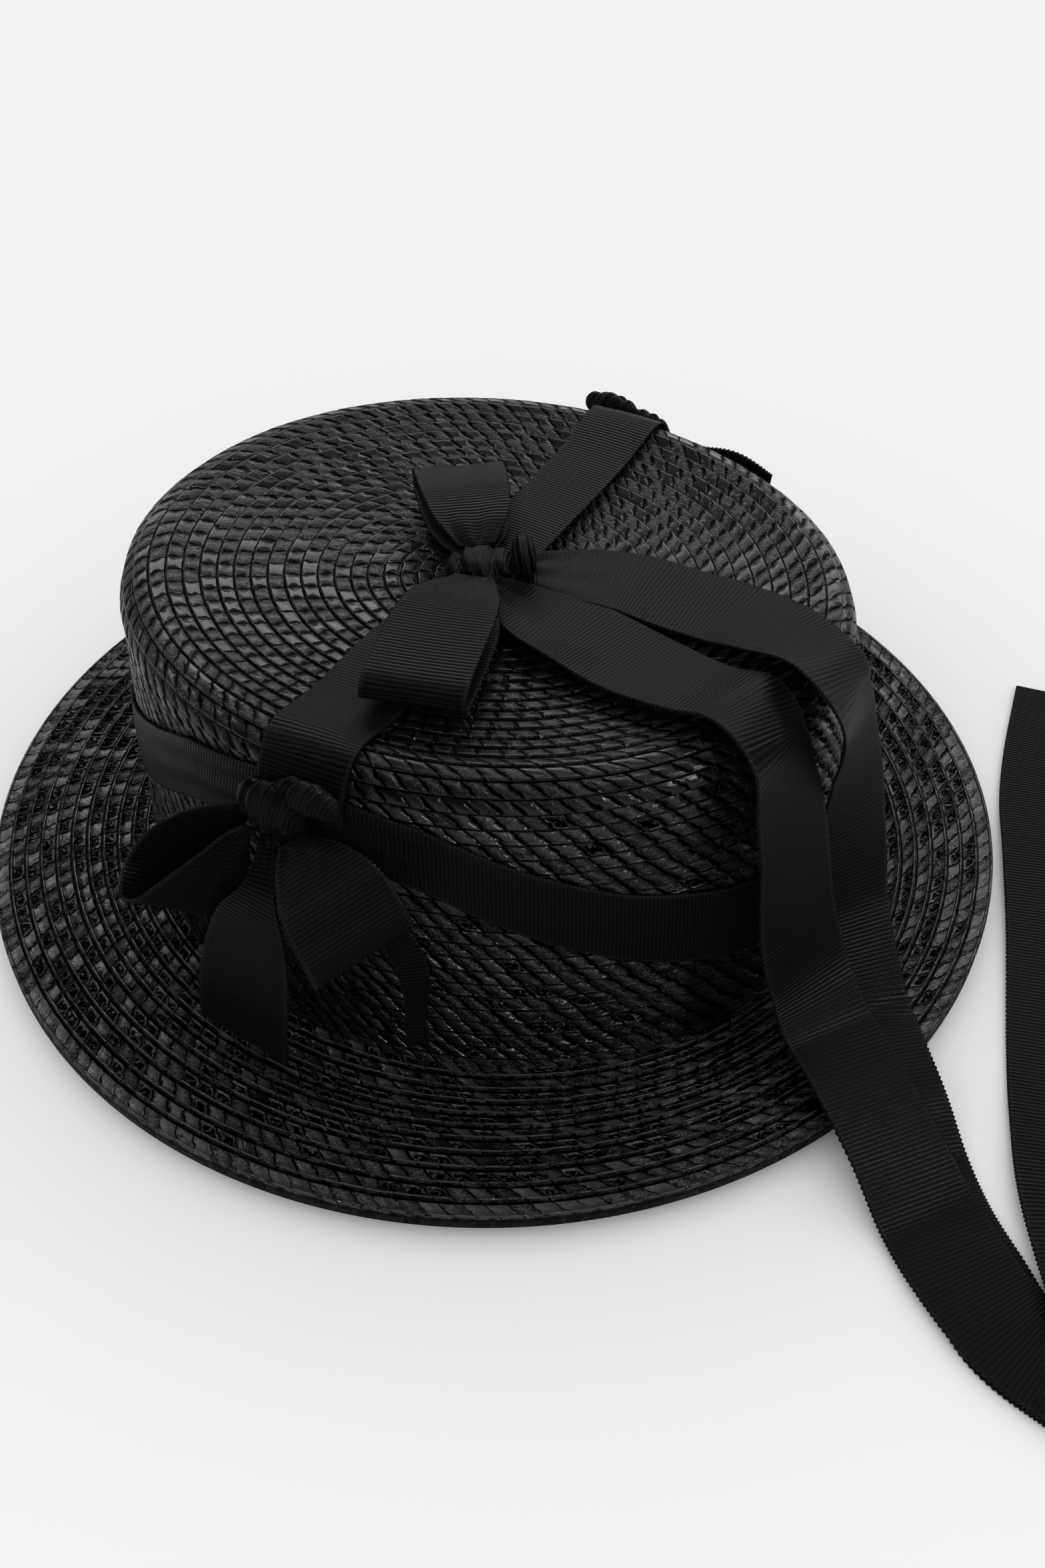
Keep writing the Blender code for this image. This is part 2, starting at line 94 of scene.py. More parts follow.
def hat_place(angle, reach):
    """Places on the hat's outside.

    Reach is 0 to 1 on the tip, to 2 over the rim and down the wall, to 3 across the brim,
    and more on the floor beyond it.
    """
    angle, reach = np.broadcast_arrays(np.asarray(angle, float), np.asarray(reach, float))
    level = np.zeros_like(reach)
    tip_edge = around_crown(angle, level - RIM_ROUND, level) - CROWN_SHIFT
    on_tip = CROWN_SHIFT + tip_edge * np.clip(reach, 0, 1)[..., None]
    on_tip[..., 2] = CROWN_HEIGHT - TIP_DISH * (1 - np.clip(reach, 0, 1) ** 3)
    run = (np.clip(reach, 1, 2) - 1) * (RIM_RUN + WALL_RUN)
    bend = np.clip(run / RIM_ROUND, 0, math.pi / 2)
    down = np.clip((run - RIM_RUN) / WALL_RUN, 0, 1)
    grow = RIM_ROUND * (np.sin(bend) - 1) + CROWN_TAPER * down
    height = CROWN_HEIGHT - RIM_ROUND * (1 - np.cos(bend)) - WALL_RUN * down
    on_wall = around_crown(angle, grow, height)
    share = np.clip(reach, 2, 3) - 2
    base = around_crown(angle, level + CROWN_TAPER, level)
    circle = np.stack((np.cos(angle), np.sin(angle), level), -1)
    on_brim = base + (circle * BRIM_RADIUS - base) * share[..., None]
    on_brim[..., 2] = brim_height(share)
    fall = np.clip((reach - 3) / RIBBON_FALL, 0, 1)
    on_floor = circle * (BRIM_RADIUS * (reach - 2))[..., None]
    on_floor[..., 2] = brim_height(1) * (1 - fall**2 * (3 - 2 * fall))
    kind = [(reach <= 1)[..., None], (reach <= 2)[..., None], (reach <= 3)[..., None]]
    return np.select(kind, [on_tip, on_wall, on_brim], on_floor)


def unit(vectors):
    """The same directions with length 1."""
    return vectors / np.linalg.norm(vectors, axis=-1, keepdims=True)


def hat_normal(angle, reach):
    """Directions out of the straw, or up from the floor."""
    angle, reach = np.broadcast_arrays(np.asarray(angle, float), np.asarray(reach, float))
    step = 0.01
    low = np.where((reach > 2) & (reach <= 2 + step), 2, reach - step)
    high = np.where((reach <= 2) & (reach + step > 2), 2, reach + step)
    down = hat_place(angle, np.minimum(high, 3)) - hat_place(angle, np.maximum(low, 0.001))
    side = hat_place(angle + step, reach) - hat_place(angle - step, reach)
    flat = ((reach < 0.02) | (reach > 3))[..., None]
    side = np.where(flat, (0.0, 1.0, 0.0), side)
    down = np.where(flat, (1.0, 0.0, 0.0), down)
    return unit(np.cross(down, side))


def flat_grid(name, columns, rings):
    """A flat grid mesh, with the column and the ring of each vertex."""
    shape = bmesh.new()
    bmesh.ops.create_grid(shape, x_segments=columns, y_segments=rings, size=1)
    mesh = bpy.data.meshes.new(name)
    shape.to_mesh(mesh)
    shape.free()
    places = np.empty(len(mesh.vertices) * 3)
    mesh.vertices.foreach_get("co", places)
    shares = (places.reshape(-1, 3) + 1) / 2
    column = np.rint(shares[:, 0] * columns).astype(int)
    return mesh, column, np.rint(shares[:, 1] * rings).astype(int)


def finish_mesh(mesh, places, pattern, joins, finish):
    """Moves the grid's vertices, lays its UV map, welds its seams and links it as an object."""
    mesh.vertices.foreach_set("co", (places + MIDDLE).astype(np.float32).ravel())
    laid = mesh.uv_layers.new(name="UVMap")
    laid.data.foreach_set("uv", pattern.astype(np.float32).ravel())
    if joins:
        shape = bmesh.new()
        shape.from_mesh(mesh)
        bmesh.ops.remove_doubles(shape, verts=shape.verts, dist=WELD)
        bmesh.ops.recalc_face_normals(shape, faces=shape.faces)
        shape.to_mesh(mesh)
        shape.free()
    mesh.shade_smooth()
    mesh.materials.append(finish)
    piece = bpy.data.objects.new(mesh.name, mesh)
    bpy.context.scene.collection.objects.link(piece)
    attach(piece, "root")
    return piece


def corners_of(mesh):
    """The vertex number at each corner of the mesh's faces."""
    corner = np.empty(len(mesh.loops), dtype=int)
    mesh.loops.foreach_get("vertex_index", corner)
    return corner


CELL = 0.0052
LEAST_CELLS = 6
CELL_STEEP = 6
ROW_SHIFT = 0.37
ROW_STEEP = 5
ROW_STEPS = (0.0, 0.12, 0.36, 0.62, 0.82, 0.95)
SEAM_GAP = 0.004
NEARLY = 0.001


def straw_rings(rows):
    """Row numbers with fractions at which a plaited surface has its rings of vertices."""
    rings = [row + step for row in range(rows) for step in ROW_STEPS]
    return np.array(rings + [rows])


def chance(*numbers):
    """A number from 0 to 1 that is always the same for the same whole numbers."""
    total = sum(number * weight for number, weight in zip(numbers, (12.9898, 78.233, 37.719)))
    return np.modf(np.abs(np.sin(total) * 43758.5453))[0]


def girth_at(reach):
    """Length once round the outside of the hat at a reach."""
    turns = np.linspace(0, math.tau, 91)
    return np.linalg.norm(np.diff(hat_place(turns, reach), axis=0), axis=1).sum()


def plaited(name, columns, path, lip, strand, slant, finish):
    """A closed straw shell whose rings follow path: reach, depth under the outside, row.

    The rings whose depth is 0 get the plait's relief. Lip is a row's height at each of
    ROW_STEPS and at its end. Strand is how much the strands differ in height, how much
    they tip along the row, and how far their ends dip. Slant gives their lean in cells
    for a row and an angle. The UV map counts cells along the rows, one for each strand,
    and rows across.
    """
    reaches, depths, rows = path.T
    mesh, column, ring = flat_grid(name, columns, len(path) - 1)
    angle = column * math.tau / columns
    corner = corners_of(mesh)
    face_ring = np.repeat(ring[corner].reshape(-1, 4).min(1), 4)
    face_row = np.floor(rows[face_ring] + NEARLY)
    through = rows[ring[corner]] - face_row
    outer = slice(np.argmax(rows) + 1)
    halfway = np.interp(face_row + 0.5, rows[outer], reaches[outer])
    levels = np.unique(halfway)
    cells = np.maximum(np.rint([girth_at(level) / CELL for level in levels]), LEAST_CELLS)
    cells = cells[np.searchsorted(levels, halfway)]
    along = column[corner] / columns * cells + ROW_SHIFT * face_row
    along = along + slant(face_row, angle[corner]) * through
    pattern = np.stack((along, face_row + np.clip(through, SEAM_GAP, 1 - SEAM_GAP)), -1)
    row = np.floor(rows[ring] + NEARLY)
    share = rows[ring] - row
    cell_at = np.zeros(len(ring))
    cell_at[corner] = np.where(through < 1 - NEARLY, along, cell_at[corner])
    cell = np.floor(cell_at)
    inside_cell = cell_at - cell
    differ, tip, dip = strand
    level = (chance(cell, row) - 0.5) * differ + (chance(row, cell, row) - 0.5) * tip * inside_cell
    dome = np.clip(np.minimum(inside_cell, 1 - inside_cell) * CELL_STEEP, 0, 1)
    middle = np.clip(np.minimum(share, 1 - share) * ROW_STEEP, 0, 1)
    relief = np.interp(share, (*ROW_STEPS, 1), lip) + middle * (level + dip * (dome - 1))
    relief = relief * (depths[ring] == 0)
    first = np.zeros(len(path))
    first[ring[column == 0]] = relief[column == 0]
    relief = np.where(column == columns, first[ring], relief)
    places = hat_place(angle, reaches[ring])
    places = places + hat_normal(angle, reaches[ring]) * (relief - depths[ring])[:, None]
    piece = finish_mesh(mesh, places, pattern, True, finish)
    return piece


def node(tree, kind, **settings):
    """A shader node with its settings."""
    made = tree.nodes.new(kind)
    for name, value in settings.items():
        setattr(made, name, value)
    return made


def feed(tree, socket, part):
    """Gives a socket a number or a colour, or links another node's output to it."""
    if isinstance(part, bpy.types.NodeSocket):
        tree.links.new(part, socket)
    else:
        socket.default_value = part


def maths(tree, operation, *parts, clamp=False):
    """Output of a math node whose inputs are numbers or other nodes' outputs."""
    made = node(tree, "ShaderNodeMath", operation=operation, use_clamp=clamp)
    for socket, part in zip(made.inputs, parts):
        feed(tree, socket, part)
    return made.outputs[0]


def vector_of(tree, *parts):
    """A vector from numbers or other nodes' outputs."""
    made = node(tree, "ShaderNodeCombineXYZ")
    for socket, part in zip(made.inputs, parts):
        feed(tree, socket, part)
    return made.outputs[0]


def ramp_of(tree, value, low, high, start=0.0, end=1.0):
    """A value taken smoothly from one range to another."""
    made = node(tree, "ShaderNodeMapRange", interpolation_type="SMOOTHSTEP")
    for socket, part in zip(made.inputs, (value, low, high, start, end)):
        feed(tree, socket, part)
    return made.outputs[0]


def noise_of(tree, vector, scale, detail=2.0, roughness=0.5, dimensions="3D"):
    """Smooth noise between 0 and 1 at a vector."""
    made = node(tree, "ShaderNodeTexNoise", noise_dimensions=dimensions)
    feed(tree, made.inputs["Vector"], vector)
    feed(tree, made.inputs["Scale"], scale)
    feed(tree, made.inputs["Detail"], detail)
    feed(tree, made.inputs["Roughness"], roughness)
    return made.outputs[0]


def colour_of(tree, share, low, high):
    """A colour between two others."""
    made = node(tree, "ShaderNodeMix", data_type="RGBA")
    for socket, part in zip((made.inputs[0], made.inputs[6], made.inputs[7]), (share, low, high)):
        feed(tree, socket, part)
    return made.outputs[2]


def bump_of(tree, height, distance):
    """A surface normal from a height between 0 and 1, with its distance in metres."""
    made = node(tree, "ShaderNodeBump")
    feed(tree, made.inputs["Distance"], distance)
    feed(tree, made.inputs["Height"], height)
    return made.outputs[0]


def uv_of(tree):
    """The two coordinates of a piece's own UV map."""
    split = node(tree, "ShaderNodeSeparateXYZ")
    feed(tree, split.inputs[0], node(tree, "ShaderNodeUVMap", uv_map="UVMap").outputs[0])
    return split.outputs[0], split.outputs[1]


def new_group(name, inputs, outputs):
    """An empty shader node group with float inputs and outputs."""
    tree = bpy.data.node_groups.new(name, "ShaderNodeTree")
    for label, value in inputs.items():
        socket = tree.interface.new_socket(label, in_out="INPUT", socket_type="NodeSocketFloat")
        socket.default_value = value
    for label in outputs:
        tree.interface.new_socket(label, in_out="OUTPUT", socket_type="NodeSocketFloat")
    return tree, node(tree, "NodeGroupInput").outputs, node(tree, "NodeGroupOutput").inputs


def new_material(name):
    """A material, its node tree and its Principled shader."""
    made = bpy.data.materials.new(name)
    made.use_nodes = True
    return made, made.node_tree, made.node_tree.nodes["Principled BSDF"]


PLAIT_INPUTS = {
    "Slit": 0.16,
    "Lens": 0.5,
    "Seam": 0.16,
    "Hollows": 0.0,
    "Torn": 0.3,
    "Lip": 0.5,
    "Grain": 1.0,
    "Whole from": 99,
}


def plait_group():
    """Strand relief of lacquered straw plait: strands, slits, hollows, fibre streaks and crumbs.

    Slit: half a slit's width in cells. Lens: how much slits narrow towards a row's edges.
    Seam: half the width in rows of the groove between two. Hollows: share of strands with a
    hollow. Torn: strength of torn fibre. Lip: strength of the ridge along each row and of the
    painted highlight on it. Grain: strength of the streaks. Whole from: the row from which the
    strands are whole. The slits, seams, hollows and the crumbs' bowls come out as painted shade.
    """
    tree, given, out = new_group("plait", PLAIT_INPUTS, ("Height", "Painted shade", "Tone and highlight", "Dull"))
    cells, rows = uv_of(tree)
    place = node(tree, "ShaderNodeTexCoord").outputs["Object"]

    # Which strand this is, where in it, and three chances of its own
    waver = maths(tree, "MULTIPLY_ADD", noise_of(tree, place, 420), 0.5, -0.25)
    along = maths(tree, "ADD", cells, waver)
    row = maths(tree, "FLOOR", rows)
    across = maths(tree, "FRACT", rows)
    cell = maths(tree, "FLOOR", along)
    inside = maths(tree, "FRACT", along)
    edge = maths(tree, "MINIMUM", inside, maths(tree, "SUBTRACT", 1, inside))
    ends = maths(tree, "MINIMUM", across, maths(tree, "SUBTRACT", 1, across))
    ends = maths(tree, "MULTIPLY_ADD", waver, 0.16, ends)
    luck = node(tree, "ShaderNodeTexWhiteNoise", noise_dimensions="2D")
    feed(tree, luck.inputs["Vector"], vector_of(tree, cell, row))
    lucks = node(tree, "ShaderNodeSeparateColor")
    feed(tree, lucks.inputs[0], luck.outputs["Color"])
    luck_1, luck_2, luck_3 = lucks.outputs
    whole = maths(tree, "GREATER_THAN", row, maths(tree, "SUBTRACT", given["Whole from"], 0.5))

    # Slits between the strands, widest in the middle of the row
    lens = maths(tree, "SUBTRACT", 4, maths(tree, "MULTIPLY", across, 4))
    lens = maths(tree, "SUBTRACT", maths(tree, "MULTIPLY", across, lens), 1)
    narrowed = maths(tree, "MULTIPLY_ADD", lens, given["Lens"], 1.02)
    width = maths(tree, "MULTIPLY", given["Slit"], maths(tree, "MULTIPLY_ADD", luck_1, 1.2, 0.4))
    width = maths(tree, "MULTIPLY", width, narrowed)
    width = maths(tree, "MULTIPLY", width, maths(tree, "MULTIPLY_ADD", whole, -0.6, 1))
    from_slit = maths(tree, "DIVIDE", edge, width, clamp=True)
    from_seam = maths(tree, "DIVIDE", ends, given["Seam"], clamp=True)

    # Hollows, where a strand is missing its middle
    hole = maths(tree, "GREATER_THAN", given["Hollows"], maths(tree, "ADD", luck_3, whole))
    inner = maths(tree, "MULTIPLY", ramp_of(tree, ends, 0.05, 0.35), ramp_of(tree, edge, 0.0, 0.3))
    inner = maths(tree, "MULTIPLY", inner, ramp_of(tree, noise_of(tree, place, 900), 0.36, 0.5))
    from_hole = maths(tree, "SUBTRACT", 1, maths(tree, "MULTIPLY", hole, inner))

    # The ridge along the outer edge of the row, and what stands up beside the grooves
    lip_at = maths(tree, "MULTIPLY_ADD", waver, 0.12, maths(tree, "SUBTRACT", across, 0.84))
    ridge = ramp_of(tree, maths(tree, "ABSOLUTE", lip_at), 0.12, 0.02)
    ridge = maths(tree, "MULTIPLY", ridge, given["Lip"])
    strands = maths(tree, "MAXIMUM", maths(tree, "MINIMUM", from_slit, from_hole), ridge)
    solid = maths(tree, "MINIMUM", strands, from_seam)

    # Torn fibre with crumbs near the slits, and beads of lacquer at the slits' ends
    torn = ramp_of(tree, maths(tree, "ADD", noise_of(tree, place, 300), luck_2), 0.98, 1.12)
    torn = maths(tree, "MULTIPLY", torn, given["Torn"])
    torn = maths(tree, "MULTIPLY", torn, ramp_of(tree, edge, 0.5, 0.15, 0.25, 1.0))
    crumbs = ramp_of(tree, noise_of(tree, place, 1300, 3, 0.6), 0.36, 0.62)
    bowl = maths(tree, "MULTIPLY", maths(tree, "SUBTRACT", 1, crumbs), torn)
    bowl = maths(tree, "MULTIPLY", bowl, 0.8)
    bead = maths(tree, "MULTIPLY", ramp_of(tree, edge, 0.2, 0.05), ramp_of(tree, ends, 0.36, 0.16))
    bead = maths(tree, "MULTIPLY", bead, ramp_of(tree, luck_2, 0.4, 0.7))

    # Streaks of fibre on strands that are rounded and a little tipped
    streak_run = maths(tree, "MULTIPLY", along, 14)
    fibre = noise_of(tree, vector_of(tree, streak_run, maths(tree, "MULTIPLY", rows, 1.3), cell), 1, 3)
    pillow = maths(tree, "MULTIPLY", ramp_of(tree, edge, 0.0, 0.5), 0.35)
    tipped = maths(tree, "MULTIPLY", maths(tree, "SUBTRACT", luck_3, 0.5), inside)
    grain = maths(tree, "MULTIPLY_ADD", tipped, 0.4, maths(tree, "MULTIPLY_ADD", fibre, 0.32, pillow))

    height = maths(tree, "MULTIPLY_ADD", grain, given["Grain"], solid)
    height = maths(tree, "MULTIPLY_ADD", ridge, 0.7, height)
    height = maths(tree, "MULTIPLY_ADD", bead, 0.9, height)
    feed(tree, out["Height"], maths(tree, "SUBTRACT", height, bowl))
    # Painted shade: the slits, the seams between rows, the hollows and the crumbs' bowls are marked to
    # be coloured black, as the shade in them
    gap_shade = maths(tree, "SUBTRACT", 1, ramp_of(tree, solid, 0.15, 0.85))
    feed(tree, out["Painted shade"], maths(tree, "MAXIMUM", gap_shade, bowl))
    # Painted highlight: the ridge along each row's lip is made lighter, on top of each strand's own
    # tone and the lighter whole row
    tone_and_highlight = maths(tree, "MULTIPLY_ADD", ridge, 0.4, maths(tree, "MULTIPLY", luck_1, fibre))
    feed(tree, out["Tone and highlight"], maths(tree, "MULTIPLY_ADD", whole, 0.3, tone_and_highlight))
    shiny = maths(tree, "SUBTRACT", 1, maths(tree, "MAXIMUM", ridge, bead))
    dull = maths(tree, "MULTIPLY_ADD", luck_2, 0.4, 0.6)
    feed(tree, out["Dull"], maths(tree, "MULTIPLY", dull, shiny))
    return tree


PLAIT = plait_group()
STRAW_SHADE = (0.0015, 0.0015, 0.0016, 1)
# Painted shade: the near-black colour of the plait's slits, seams, hollows and crumb bowls
STRAW_PAINTED_SHADE = (0.0004, 0.0004, 0.0004, 1)


def lacquered_straw(name, relief, light, shine, shares):
    """Black glossy straw with the plait's relief. Its slits, seams, hollows and crumb bowls are painted
    black as shade and give back no light.

    Relief is the plait's depth in metres, light the grey of the lightest strands and of the painted
    highlight on the row lips, shine the strength of reflections, and shares the inputs of the plait.
    """
    made, tree, shader = new_material(name)
    plait = node(tree, "ShaderNodeGroup", node_tree=PLAIT)
    for label, value in shares.items():
        plait.inputs[label].default_value = value
    # Painted shade in the plait's gaps: near-black colour and full metal, so they reflect nothing
    painted_shade = plait.outputs["Painted shade"]
    tone_and_highlight = ramp_of(tree, plait.outputs["Tone and highlight"], 0.0, 0.55)
    tint = colour_of(tree, tone_and_highlight, STRAW_SHADE, (light, light, light * 1.04, 1))
    feed(tree, shader.inputs["Base Color"], colour_of(tree, painted_shade, tint, STRAW_PAINTED_SHADE))
    feed(tree, shader.inputs["Metallic"], painted_shade)
    gloss = ramp_of(tree, plait.outputs["Dull"], 0.0, 1.0, 0.12, 0.34)
    feed(tree, shader.inputs["Roughness"], maths(tree, "MULTIPLY_ADD", painted_shade, 0.5, gloss))
    feed(tree, shader.inputs["Normal"], bump_of(tree, plait.outputs["Height"], relief))
    feed(tree, shader.inputs["Specular IOR Level"], shine)
    return made


TIP_COLUMNS = 600
TIP_ROWS = 20
RIM_ROWS = 3
TIP_LIP = (0.0001, 0.0004, 0.0006, 0.0007, 0.0009, 0.0007, 0.0001)
TIP_STRAND = (0.00008, 0.0001, 0.0001)
TIP_ROW_CLEAR = 0.1
TIP_INSIDE = (1.115, 1.08, 1.04, 1.0, 0.9, 0.8, 0.65, 0.5, 0.35, 0.2, 0.1, 0.0)
TIP_PLAIT = {"Slit": 0.25, "Lens": 1.0, "Seam": 0.06, "Torn": 0.5, "Lip": 0.25, "Grain": 0.4}


def tip_slant(row, angle):
    """Lean of the tip's strands, which changes round the oval but not on the rim."""
    return np.where(row < TIP_ROWS - 1, -0.45 - 0.35 * np.cos(angle - 0.8), -0.85)


tip_rows = straw_rings(TIP_ROWS + RIM_ROWS)
rim_share = RIM_RUN / (RIM_RUN + WALL_RUN) / RIM_ROWS
tip_reach = np.where(tip_rows <= TIP_ROWS, tip_rows / TIP_ROWS, 1 + (tip_rows - TIP_ROWS) * rim_share)
outside = np.stack((tip_reach, np.zeros_like(tip_reach), tip_rows), -1)
inner_count = len(TIP_INSIDE)
inner_rows = np.linspace(TIP_ROWS + RIM_ROWS - TIP_ROW_CLEAR, 0, inner_count)
inside = np.stack((TIP_INSIDE, np.full(inner_count, STRAW_WALL), inner_rows), -1)
tip_straw = lacquered_straw(
    "lacquered straw of the tip", relief=0.00045, light=0.007, shine=0.24, shares=TIP_PLAIT
)
tip_path = np.vstack((outside, inside))
crown_tip = plaited("crown_tip", TIP_COLUMNS, tip_path, TIP_LIP, TIP_STRAND, tip_slant, tip_straw)
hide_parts("crown")

# Crown wall: the same plait goes on down the wall, row under row, to the base where it meets the brim.
# Its strands are rougher here, and the last row before the brim is whole and lighter.
WALL_COLUMNS = 640
WALL_ROWS = 19
WALL_LIP = (0.0001, 0.0004, 0.0005, 0.0005, 0.0006, 0.0005, 0.0001)
WALL_STRAND = (0.00015, 0.0003, 0.0003)
WALL_PLAIT = {
    "Slit": 0.22,
    "Lens": 0.3,
    "Seam": 0.08,
    "Hollows": 0.06,
    "Torn": 1.0,
    "Lip": 0.2,
    "Whole from": WALL_ROWS - 1,
}
WALL_LEAN = -0.8
WALL_INNER_RINGS = 10
ROW_CLEAR = 0.01


def wall_slant(row, angle):
    """Lean of the strands on the wall and the brim, the same everywhere."""
    return np.full(len(row), WALL_LEAN)


wall_rows = straw_rings(WALL_ROWS)
rim_end = 1 + RIM_ROWS * rim_share
wall_reach = rim_end + (2 - rim_end) * wall_rows / WALL_ROWS
outside = np.stack((wall_reach, np.zeros_like(wall_reach), wall_rows), -1)
inner_rows = np.linspace(WALL_ROWS - ROW_CLEAR, ROW_CLEAR, WALL_INNER_RINGS)
inner_reach = rim_end + (2 - rim_end) * inner_rows / WALL_ROWS
inside = np.stack((inner_reach, np.full(WALL_INNER_RINGS, STRAW_WALL), inner_rows), -1)
wall_straw = lacquered_straw(
    "lacquered straw of the wall", relief=0.0009, light=0.009, shine=0.42, shares=WALL_PLAIT
)
wall_path = np.vstack((outside, inside, outside[:1]))
crown_wall = plaited(
    "crown_wall", WALL_COLUMNS, wall_path, WALL_LIP, WALL_STRAND, wall_slant, wall_straw
)
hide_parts("crown")

# Brim: more rows of the plait sewn on outside the base, rising a little to a doubled edge.
# The lip of each row is a thin rounded ridge with a painted highlight, and the hollows between the
# strands beside it are painted black as shade.
BRIM_COLUMNS = 960
BRIM_ROWS = 11
BRIM_LIP = (-0.0001, 0.0, 0.0001, 0.0002, 0.0012, 0.0010, -0.0001)
BRIM_STRAND = (0.0002, 0.0004, 0.0002)
BRIM_PLAIT = {
    "Slit": 0.14,
    "Lens": 0.2,
    "Seam": 0.08,
    "Hollows": 0.5,
    "Torn": 1.0,
    "Lip": 1.0,
    "Whole from": BRIM_ROWS - 1,
}
BRIM_UNDER_RINGS = 23
brim_rows = straw_rings(BRIM_ROWS)
brim_reach = 2 + brim_rows / BRIM_ROWS
outside = np.stack((brim_reach, np.zeros_like(brim_reach), brim_rows), -1)
under_rows = np.linspace(BRIM_ROWS - ROW_CLEAR, ROW_CLEAR, BRIM_UNDER_RINGS)
under_share = under_rows / BRIM_ROWS
under_depth = brim_height(under_share) - brim_height(under_share, 0.0)
inside = np.stack((2 + under_share, under_depth, under_rows), -1)
brim_straw = lacquered_straw(
    "lacquered straw of the brim", relief=0.0007, light=0.04, shine=0.42, shares=BRIM_PLAIT
)
brim_path = np.vstack((outside, inside, outside[:1]))
brim = plaited("brim_plait", BRIM_COLUMNS, brim_path, BRIM_LIP, BRIM_STRAND, wall_slant, brim_straw)
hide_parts("brim")

# Hat band: one length of black grosgrain round the wall, high at the two bows and low between them.
# It is drawn together where the bows hold it and spreads to its full width away from them.
RIBBON_WIDTH = 0.025
RIBBON_THICK = 0.0007
RIB_PITCH = 0.00105
PICOT = 0.00022
SEAM = 0.0003
SOLID_THICK = 0.001
LAYER = SOLID_THICK + SEAM
STRAW_LIFT = 0.0004
FIRST_LAYER = SEAM + SOLID_THICK / 2 + STRAW_LIFT
BOW_ANGLE = 240


def grosgrain(name, relief, light):
    """Matte black ribbon with fine cross ribs, warp threads and paler edges, its rib tops painted
    lighter and the grooves between them painted darker as light and shade.
    """
    made, tree, shader = new_material(name)
    across, along = uv_of(tree)
    waver = noise_of(tree, node(tree, "ShaderNodeTexCoord").outputs["Object"], 300)
    wave = maths(tree, "MULTIPLY", maths(tree, "MULTIPLY_ADD", waver, 0.15, along), math.tau)
    rib = maths(tree, "MULTIPLY_ADD", maths(tree, "COSINE", wave), 0.5, 0.5)
    warp = maths(tree, "SINE", maths(tree, "MULTIPLY", across, 380))
    stretched = vector_of(tree, maths(tree, "MULTIPLY", across, 130), maths(tree, "MULTIPLY", along, 2))
    threads = noise_of(tree, stretched, 1, dimensions="2D")
    height = maths(tree, "MULTIPLY_ADD", warp, 0.12, rib)
    height = maths(tree, "MULTIPLY_ADD", threads, 0.35, height)
    feed(tree, shader.inputs["Normal"], bump_of(tree, height, relief))
    from_edge = maths(tree, "ABSOLUTE", maths(tree, "SUBTRACT", across, 0.5))
    edge = ramp_of(tree, from_edge, 0.455, 0.475, 0.0, 0.5)
    painted_rib_shade = (light / 3, light / 3, light / 3, 1)
    full = (light, light, light * 1.02, 1)
    pale = (light * 1.6, light * 1.6, light * 1.6, 1)
    # Painted light and shade on the ribs: tops lighter, grooves darker, varied by the threads
    rib_light_and_shade = ramp_of(tree, maths(tree, "MULTIPLY", rib, threads), 0.08, 0.6)
    tint = colour_of(tree, rib_light_and_shade, painted_rib_shade, full)
    feed(tree, shader.inputs["Base Color"], colour_of(tree, edge, tint, pale))
    feed(tree, shader.inputs["Roughness"], 0.32)
    feed(tree, shader.inputs["Specular IOR Level"], 0.036)
    feed(tree, shader.inputs["Sheen Weight"], 0.008)
    feed(tree, shader.inputs["Sheen Roughness"], 0.4)
    return made


ribbon = grosgrain("black grosgrain", relief=0.0001, light=0.0052)
SHARES = np.array((-1, -0.96, -0.88, -0.66, -0.44, -0.22, 0, 0.22, 0.44, 0.66, 0.88, 0.96, 1))
FOLD_WAVE = 7.5
FOLD_SHIFT = 0.6


def ribbon_sheet(name, centre, across, normal, camber, gathers, closed=False):
    """A ribbon along stations of centre, half width across and normal, with scalloped edges.

    Camber is how far its middle stands up. Gathers gives, for each station, the height of
    the folds that run along the ribbon.
    """
    mesh, column, station = flat_grid(name, len(SHARES) - 1, len(centre) - 1)
    share = SHARES[column]
    scallop = np.where(np.abs(share) == 1, PICOT * np.where(station % 2 == 0, 1, -1), 0)
    half = np.linalg.norm(across[station], axis=1)
    stretch = share + np.sign(share) * scallop / half
    lift = camber * (1 - share**2) + gathers[station] * np.sin(share * FOLD_WAVE + FOLD_SHIFT)
    places = centre[station] + across[station] * stretch[:, None] + normal[station] * lift[:, None]
    run = np.concatenate(((0,), np.cumsum(np.linalg.norm(np.diff(centre, axis=0), axis=1))))
    corner = corners_of(mesh)
    pattern = np.stack(((share[corner] + 1) / 2, run[station[corner]] / RIB_PITCH), -1)
    piece = finish_mesh(mesh, places, pattern, closed, ribbon)
    thick = piece.modifiers.new("thickness", "SOLIDIFY")
    thick.thickness = RIBBON_THICK
    thick.offset = 0
    return piece, run[-1]


BAND_ROWS = (
    # degrees from a bow, height as a share of the crown's, width as a share of the ribbon's
    (0, 0.850, 0.62),
    (22, 0.765, 0.72),
    (37, 0.640, 0.78),
    (52, 0.520, 0.84),
    (71, 0.400, 0.92),
    (90, 0.350, 0.96),
)


def reach_at(height):
    """The reach at which the rim or the wall has a height."""
    drop = np.clip(CROWN_HEIGHT - height, 0, RIM_ROUND)
    rim = RIM_ROUND * np.arccos(1 - drop / RIM_ROUND)
    down = np.where(height > WALL_RUN, 0, WALL_RUN - height)
    return 1 + (rim + down) / (RIM_RUN + WALL_RUN)


BAND_STATIONS = 1080
BAND_EASE = 25
BAND_CAMBER = 0.0002
BAND_GATHER = 0.0006
BAND_GATHER_DEGREES = 40


